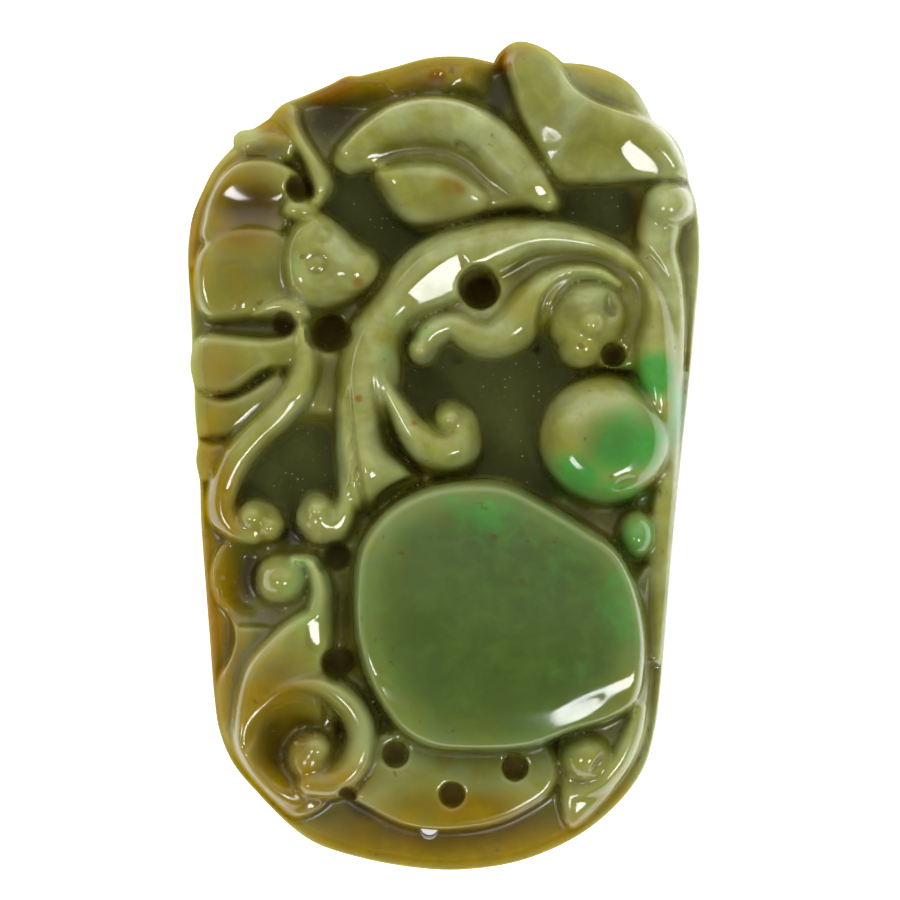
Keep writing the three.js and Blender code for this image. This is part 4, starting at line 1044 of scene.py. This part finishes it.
def burr_marks_tree():
    """Geometry nodes: small shallow pits that a burr leaves all over the dull deep ground."""
    tree = bpy.data.node_groups.new("burr marks", "GeometryNodeTree")
    for name, kind in (("Geometry", "Geometry"), ("Density", "Float"), ("Radius", "Float"),
                       ("Depth", "Float"), ("Seed", "Int"), ("Material", "Material")):
        tree.interface.new_socket(name, in_out="INPUT", socket_type="NodeSocket" + kind)
    tree.interface.new_socket("Geometry", in_out="OUTPUT", socket_type="NodeSocketGeometry")

    def result_of(kind, a, b):
        return add_node(tree, "ShaderNodeMath", {"operation": kind}, {0: a, 1: b}).outputs[0]

    given = add_node(tree, "NodeGroupInput").outputs
    floor = add_node(tree, "GeometryNodeInputNamedAttribute", {"data_type": "FLOAT"},
                     {"Name": "floor"}).outputs["Attribute"]
    spots = add_node(tree, "GeometryNodeDistributePointsOnFaces", inputs={
        "Mesh": given["Geometry"], "Seed": given["Seed"]})
    tree.links.new(result_of("MULTIPLY", floor, given["Density"]), spots.inputs["Density"])
    near = add_node(tree, "GeometryNodeProximity", {"target_element": "POINTS"})
    tree.links.new(spots.outputs["Points"], near.inputs[0])
    share = result_of("DIVIDE", near.outputs["Distance"], given["Radius"])
    bowl = add_node(tree, "ShaderNodeMapRange", {"interpolation_type": "SMOOTHSTEP"}, {
        "Value": share, "From Min": 0.0, "From Max": 1.0, "To Min": 1.0, "To Max": 0.0})
    sink = result_of("MULTIPLY", bowl.outputs["Result"], given["Depth"])
    sink = result_of("MULTIPLY", sink, floor)
    offset = add_node(tree, "ShaderNodeCombineXYZ", inputs={
        "Z": result_of("MULTIPLY", sink, -1.0)})
    moved = add_node(tree, "GeometryNodeSetPosition", inputs={
        "Geometry": given["Geometry"], "Offset": offset.outputs[0]})
    whole = add_node(tree, "GeometryNodeRealizeInstances", inputs={
        "Geometry": moved.outputs["Geometry"]})
    painted = add_node(tree, "GeometryNodeSetMaterial", inputs={
        "Geometry": whole.outputs["Geometry"], "Material": given["Material"]})
    result = add_node(tree, "NodeGroupOutput")
    tree.links.new(painted.outputs["Geometry"], result.inputs["Geometry"])
    return tree


def with_tree(piece, tree, values):
    """Runs a geometry tree on a piece and keeps the result as its plain mesh."""
    modifier = piece.modifiers.new(tree.name, "NODES")
    modifier.node_group = tree
    sockets = {s.name: s.identifier for s in tree.interface.items_tree if s.in_out == "INPUT"}
    for name, value in values.items():
        modifier[sockets[name]] = value
    made = piece.evaluated_get(bpy.context.evaluated_depsgraph_get())
    mesh = bpy.data.meshes.new_from_object(made)
    piece.modifiers.remove(modifier)
    piece.data = mesh
    return piece


# --- what a user may change -------------------------------------------------------------------


def colour_setting(name, description, default):
    return bpy.props.FloatVectorProperty(
        name=name, description=description, default=to_linear(default), subtype="COLOR", size=3,
        min=0, max=1)


class CarvingSettings(bpy.types.PropertyGroup):
    length: bpy.props.FloatProperty(
        name="Length", description="Foot of the slab to the tip of the upper leaf",
        default=SIZE.y, unit="LENGTH")
    thickness: bpy.props.FloatProperty(
        name="Thickness", description="Back to the crown of the large disc",
        default=SIZE.z, unit="LENGTH")
    bore: bpy.props.FloatProperty(
        name="Cord hole", description="Diameter of the hole for the cord",
        default=1.36 * MM, unit="LENGTH")
    spacing: bpy.props.FloatProperty(
        name="Net spacing", description="Mean side of the squares of the carved side's mesh",
        default=0.165 * MM, unit="LENGTH")
    olive: colour_setting("Olive", "Main colour of the stone", "#8c8c3a")
    sage: colour_setting("Sage", "Paler clouds in the stone", "#a2a86c")
    ochre: colour_setting("Ochre", "Iron-stained skin of the stone", "#8a7200")
    russet: colour_setting("Russet", "Most heavily stained skin", "#8a5f00")
    emerald: colour_setting("Emerald", "Brightest green", "#4c943a")
    deep_green: colour_setting("Deep green", "Body of the large disc", "#56702c")
    umber: colour_setting("Umber", "Stain in the hollows", "#3c2a06")
    iron: colour_setting("Iron spots", "Small brown spots", "#5a3c10")
    # Painted light: the pale colour laid on thin crests, standing in for light coming through
    # them.
    painted_crest_glow: colour_setting("Pale edge", "Thin crests, where light comes through", "#aeb47c")
    recess: colour_setting("Recess", "Dull deep ground", "#4a4e2a")
    # Painted highlight: the colour of the glints painted on the deep ground.
    painted_glint: colour_setting("Specks", "Bright grains in the deep ground", "#b8bcae")


class StageSettings(bpy.types.PropertyGroup):
    key_light: bpy.props.FloatProperty(
        name="Softboxes", description="Power of the small softbox on the right; the left has less",
        default=1.2, unit="POWER")
    screen_light: bpy.props.FloatProperty(
        name="Overhead screen", description="Power of the wide screen above the top, which gives "
        "the even light", default=7.5, unit="POWER")
    top_light: bpy.props.FloatProperty(
        name="Window light", description="Strength of the soft light beyond the top",
        default=0.9, min=0)
    fill_light: bpy.props.FloatProperty(
        name="Room light", description="Strength of the even light from all round", default=0.1,
        min=0)


# --- operators --------------------------------------------------------------------------------


class MakeCarving(bpy.types.Operator):
    """Carve the stone, drill the cord hole and polish it"""

    bl_idname = "jade.make_carving"
    bl_label = "Carve the jade"

    def execute(self, context):
        sizes = context.scene.jade_carving
        plan = sizes.length / MM / DRAWN_LENGTH
        rise = sizes.thickness / MM / DRAWN_THICKNESS
        r = relief()
        points, faces = stone_mesh(r, sizes.spacing / MM, RIM, plan, rise)
        piece = new_mesh_object("jade_stone", points, faces)
        drill = new_mesh_object("cord_drill", *rod(
            (CORD_HOLE[0] * plan, CORD_HOLE[1] * plan), sizes.bore / 2 / MM, -1.0,
            CORD_HOLE_TOP * rise))
        cut = piece.modifiers.new("cord hole", "BOOLEAN")
        cut.operation = "DIFFERENCE"
        cut.solver = "MANIFOLD"
        cut.object = drill
        made = piece.evaluated_get(context.evaluated_depsgraph_get())
        mesh = bpy.data.meshes.new_from_object(made)
        if len(mesh.polygons) < len(faces) // 2:
            raise RuntimeError("drilling the cord hole left no stone")
        piece.modifiers.remove(cut)
        piece.data = mesh
        bpy.data.objects.remove(drill)
        tint_points(piece, r, plan, rise)
        with_tree(piece, burr_marks_tree(), {
            "Density": 5.0 / MM**2, "Radius": 0.3 * MM, "Depth": 0.09 * MM, "Seed": 3,
            "Material": polished_jadeite(sizes)})
        for polygon in piece.data.polygons:
            polygon.use_smooth = True
        piece.data.set_sharp_from_angle(angle=math.radians(60))
        piece.name = "jade_stone"
        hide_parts("jade_carving")
        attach(piece, "root")
        return {"FINISHED"}


def rod(centre, radius, low, high, sides=40):
    """Points and faces of an upright rod, given in millimetres."""
    turn = np.arange(sides) * 2 * math.pi / sides
    x, y = centre[0] + radius * np.cos(turn), centre[1] + radius * np.sin(turn)
    points = np.vstack([np.stack([x, y, np.full(sides, h)], 1) for h in (low, high)]) * MM
    faces = [(k, (k + 1) % sides, sides + (k + 1) % sides, sides + k) for k in range(sides)]
    faces.append(tuple(range(sides, 2 * sides)))
    faces.append(tuple(reversed(range(sides))))
    return points, faces


# Name, bearing and lift in degrees, distance, width and height in metres.
LAMPS = [
    ("softbox_right", -58, 50, 0.6, 0.16, 0.18),
    ("softbox_left", -142, 46, 0.6, 0.14, 0.18),
    ("overhead_screen", 90, 68, 1.1, 1.9, 1.3),
]
LEFT_SHARE = 0.7  # power of the left softbox against the right one

# The camera looks straight down. At this distance from it, its view is this wide.
SENSOR = 36
VIEW_WIDTH = 0.0673
VIEW_DISTANCE = 0.45
CAMERA_PLACE = (0.45 * MM, 0.41 * MM, 0.454)


class MakeStage(bpy.types.Operator):
    """Lay the white card, hang the softboxes and set up the camera above"""

    bl_idname = "jade.make_stage"
    bl_label = "Set the stage"

    def execute(self, context):
        scene = context.scene
        stage = scene.jade_stage
        bpy.ops.mesh.primitive_plane_add(size=3.0, location=(0, 0, 0))
        card = context.object
        card.name = "white_card"
        card.data.materials.append(white_card())
        powers = {"softbox_right": stage.key_light, "softbox_left": stage.key_light * LEFT_SHARE,
                  "overhead_screen": stage.screen_light}
        for name, turn, lift, distance, width, height in LAMPS:
            light = bpy.data.lights.new(name, "AREA")
            light.shape = "RECTANGLE"
            light.size, light.size_y = width, height
            light.energy = powers[name]
            lamp = bpy.data.objects.new(name, light)
            a, e = math.radians(turn), math.radians(lift)
            way = Vector((math.cos(a) * math.cos(e), math.sin(a) * math.cos(e), math.sin(e)))
            lamp.location = way * distance
            lamp.rotation_euler = (-lamp.location).to_track_quat("-Z", "Y").to_euler()
            scene.collection.objects.link(lamp)
            lamp.visible_glossy = name != "overhead_screen"  # flagged, so it leaves no reflection
        scene.world = soft_room(stage.top_light, stage.fill_light)
        camera = bpy.data.cameras.new("camera_above")
        camera.lens = SENSOR * VIEW_DISTANCE / VIEW_WIDTH
        camera.sensor_width = SENSOR
        camera.clip_start = 0.01
        above = bpy.data.objects.new("camera_above", camera)
        above.location = CAMERA_PLACE
        scene.collection.objects.link(above)
        scene.camera = above
        scene.view_settings.view_transform = "Standard"
        return {"FINISHED"}


class JadePanel(bpy.types.Panel):
    bl_idname = "VIEW3D_PT_jade_carving"
    bl_label = "Jade carving"
    bl_space_type = "VIEW_3D"
    bl_region_type = "UI"
    bl_category = "Jade"

    def draw(self, context):
        for group, operator in (
            (context.scene.jade_carving, MakeCarving),
            (context.scene.jade_stage, MakeStage),
        ):
            box = self.layout.box()
            for name in group.bl_rna.properties.keys():
                if name not in {"rna_type", "name"}:
                    box.prop(group, name)
            box.operator(operator.bl_idname)


CLASSES = (CarvingSettings, StageSettings, MakeCarving, MakeStage, JadePanel)


def register():
    for cls in CLASSES:
        bpy.utils.register_class(cls)
    bpy.types.Scene.jade_carving = bpy.props.PointerProperty(type=CarvingSettings)
    bpy.types.Scene.jade_stage = bpy.props.PointerProperty(type=StageSettings)


def unregister():
    del bpy.types.Scene.jade_stage
    del bpy.types.Scene.jade_carving
    for cls in reversed(CLASSES):
        bpy.utils.unregister_class(cls)


def main():
    register()
    bpy.ops.jade.make_carving()
    bpy.ops.jade.make_stage()


if __name__ == "__main__":
    main()
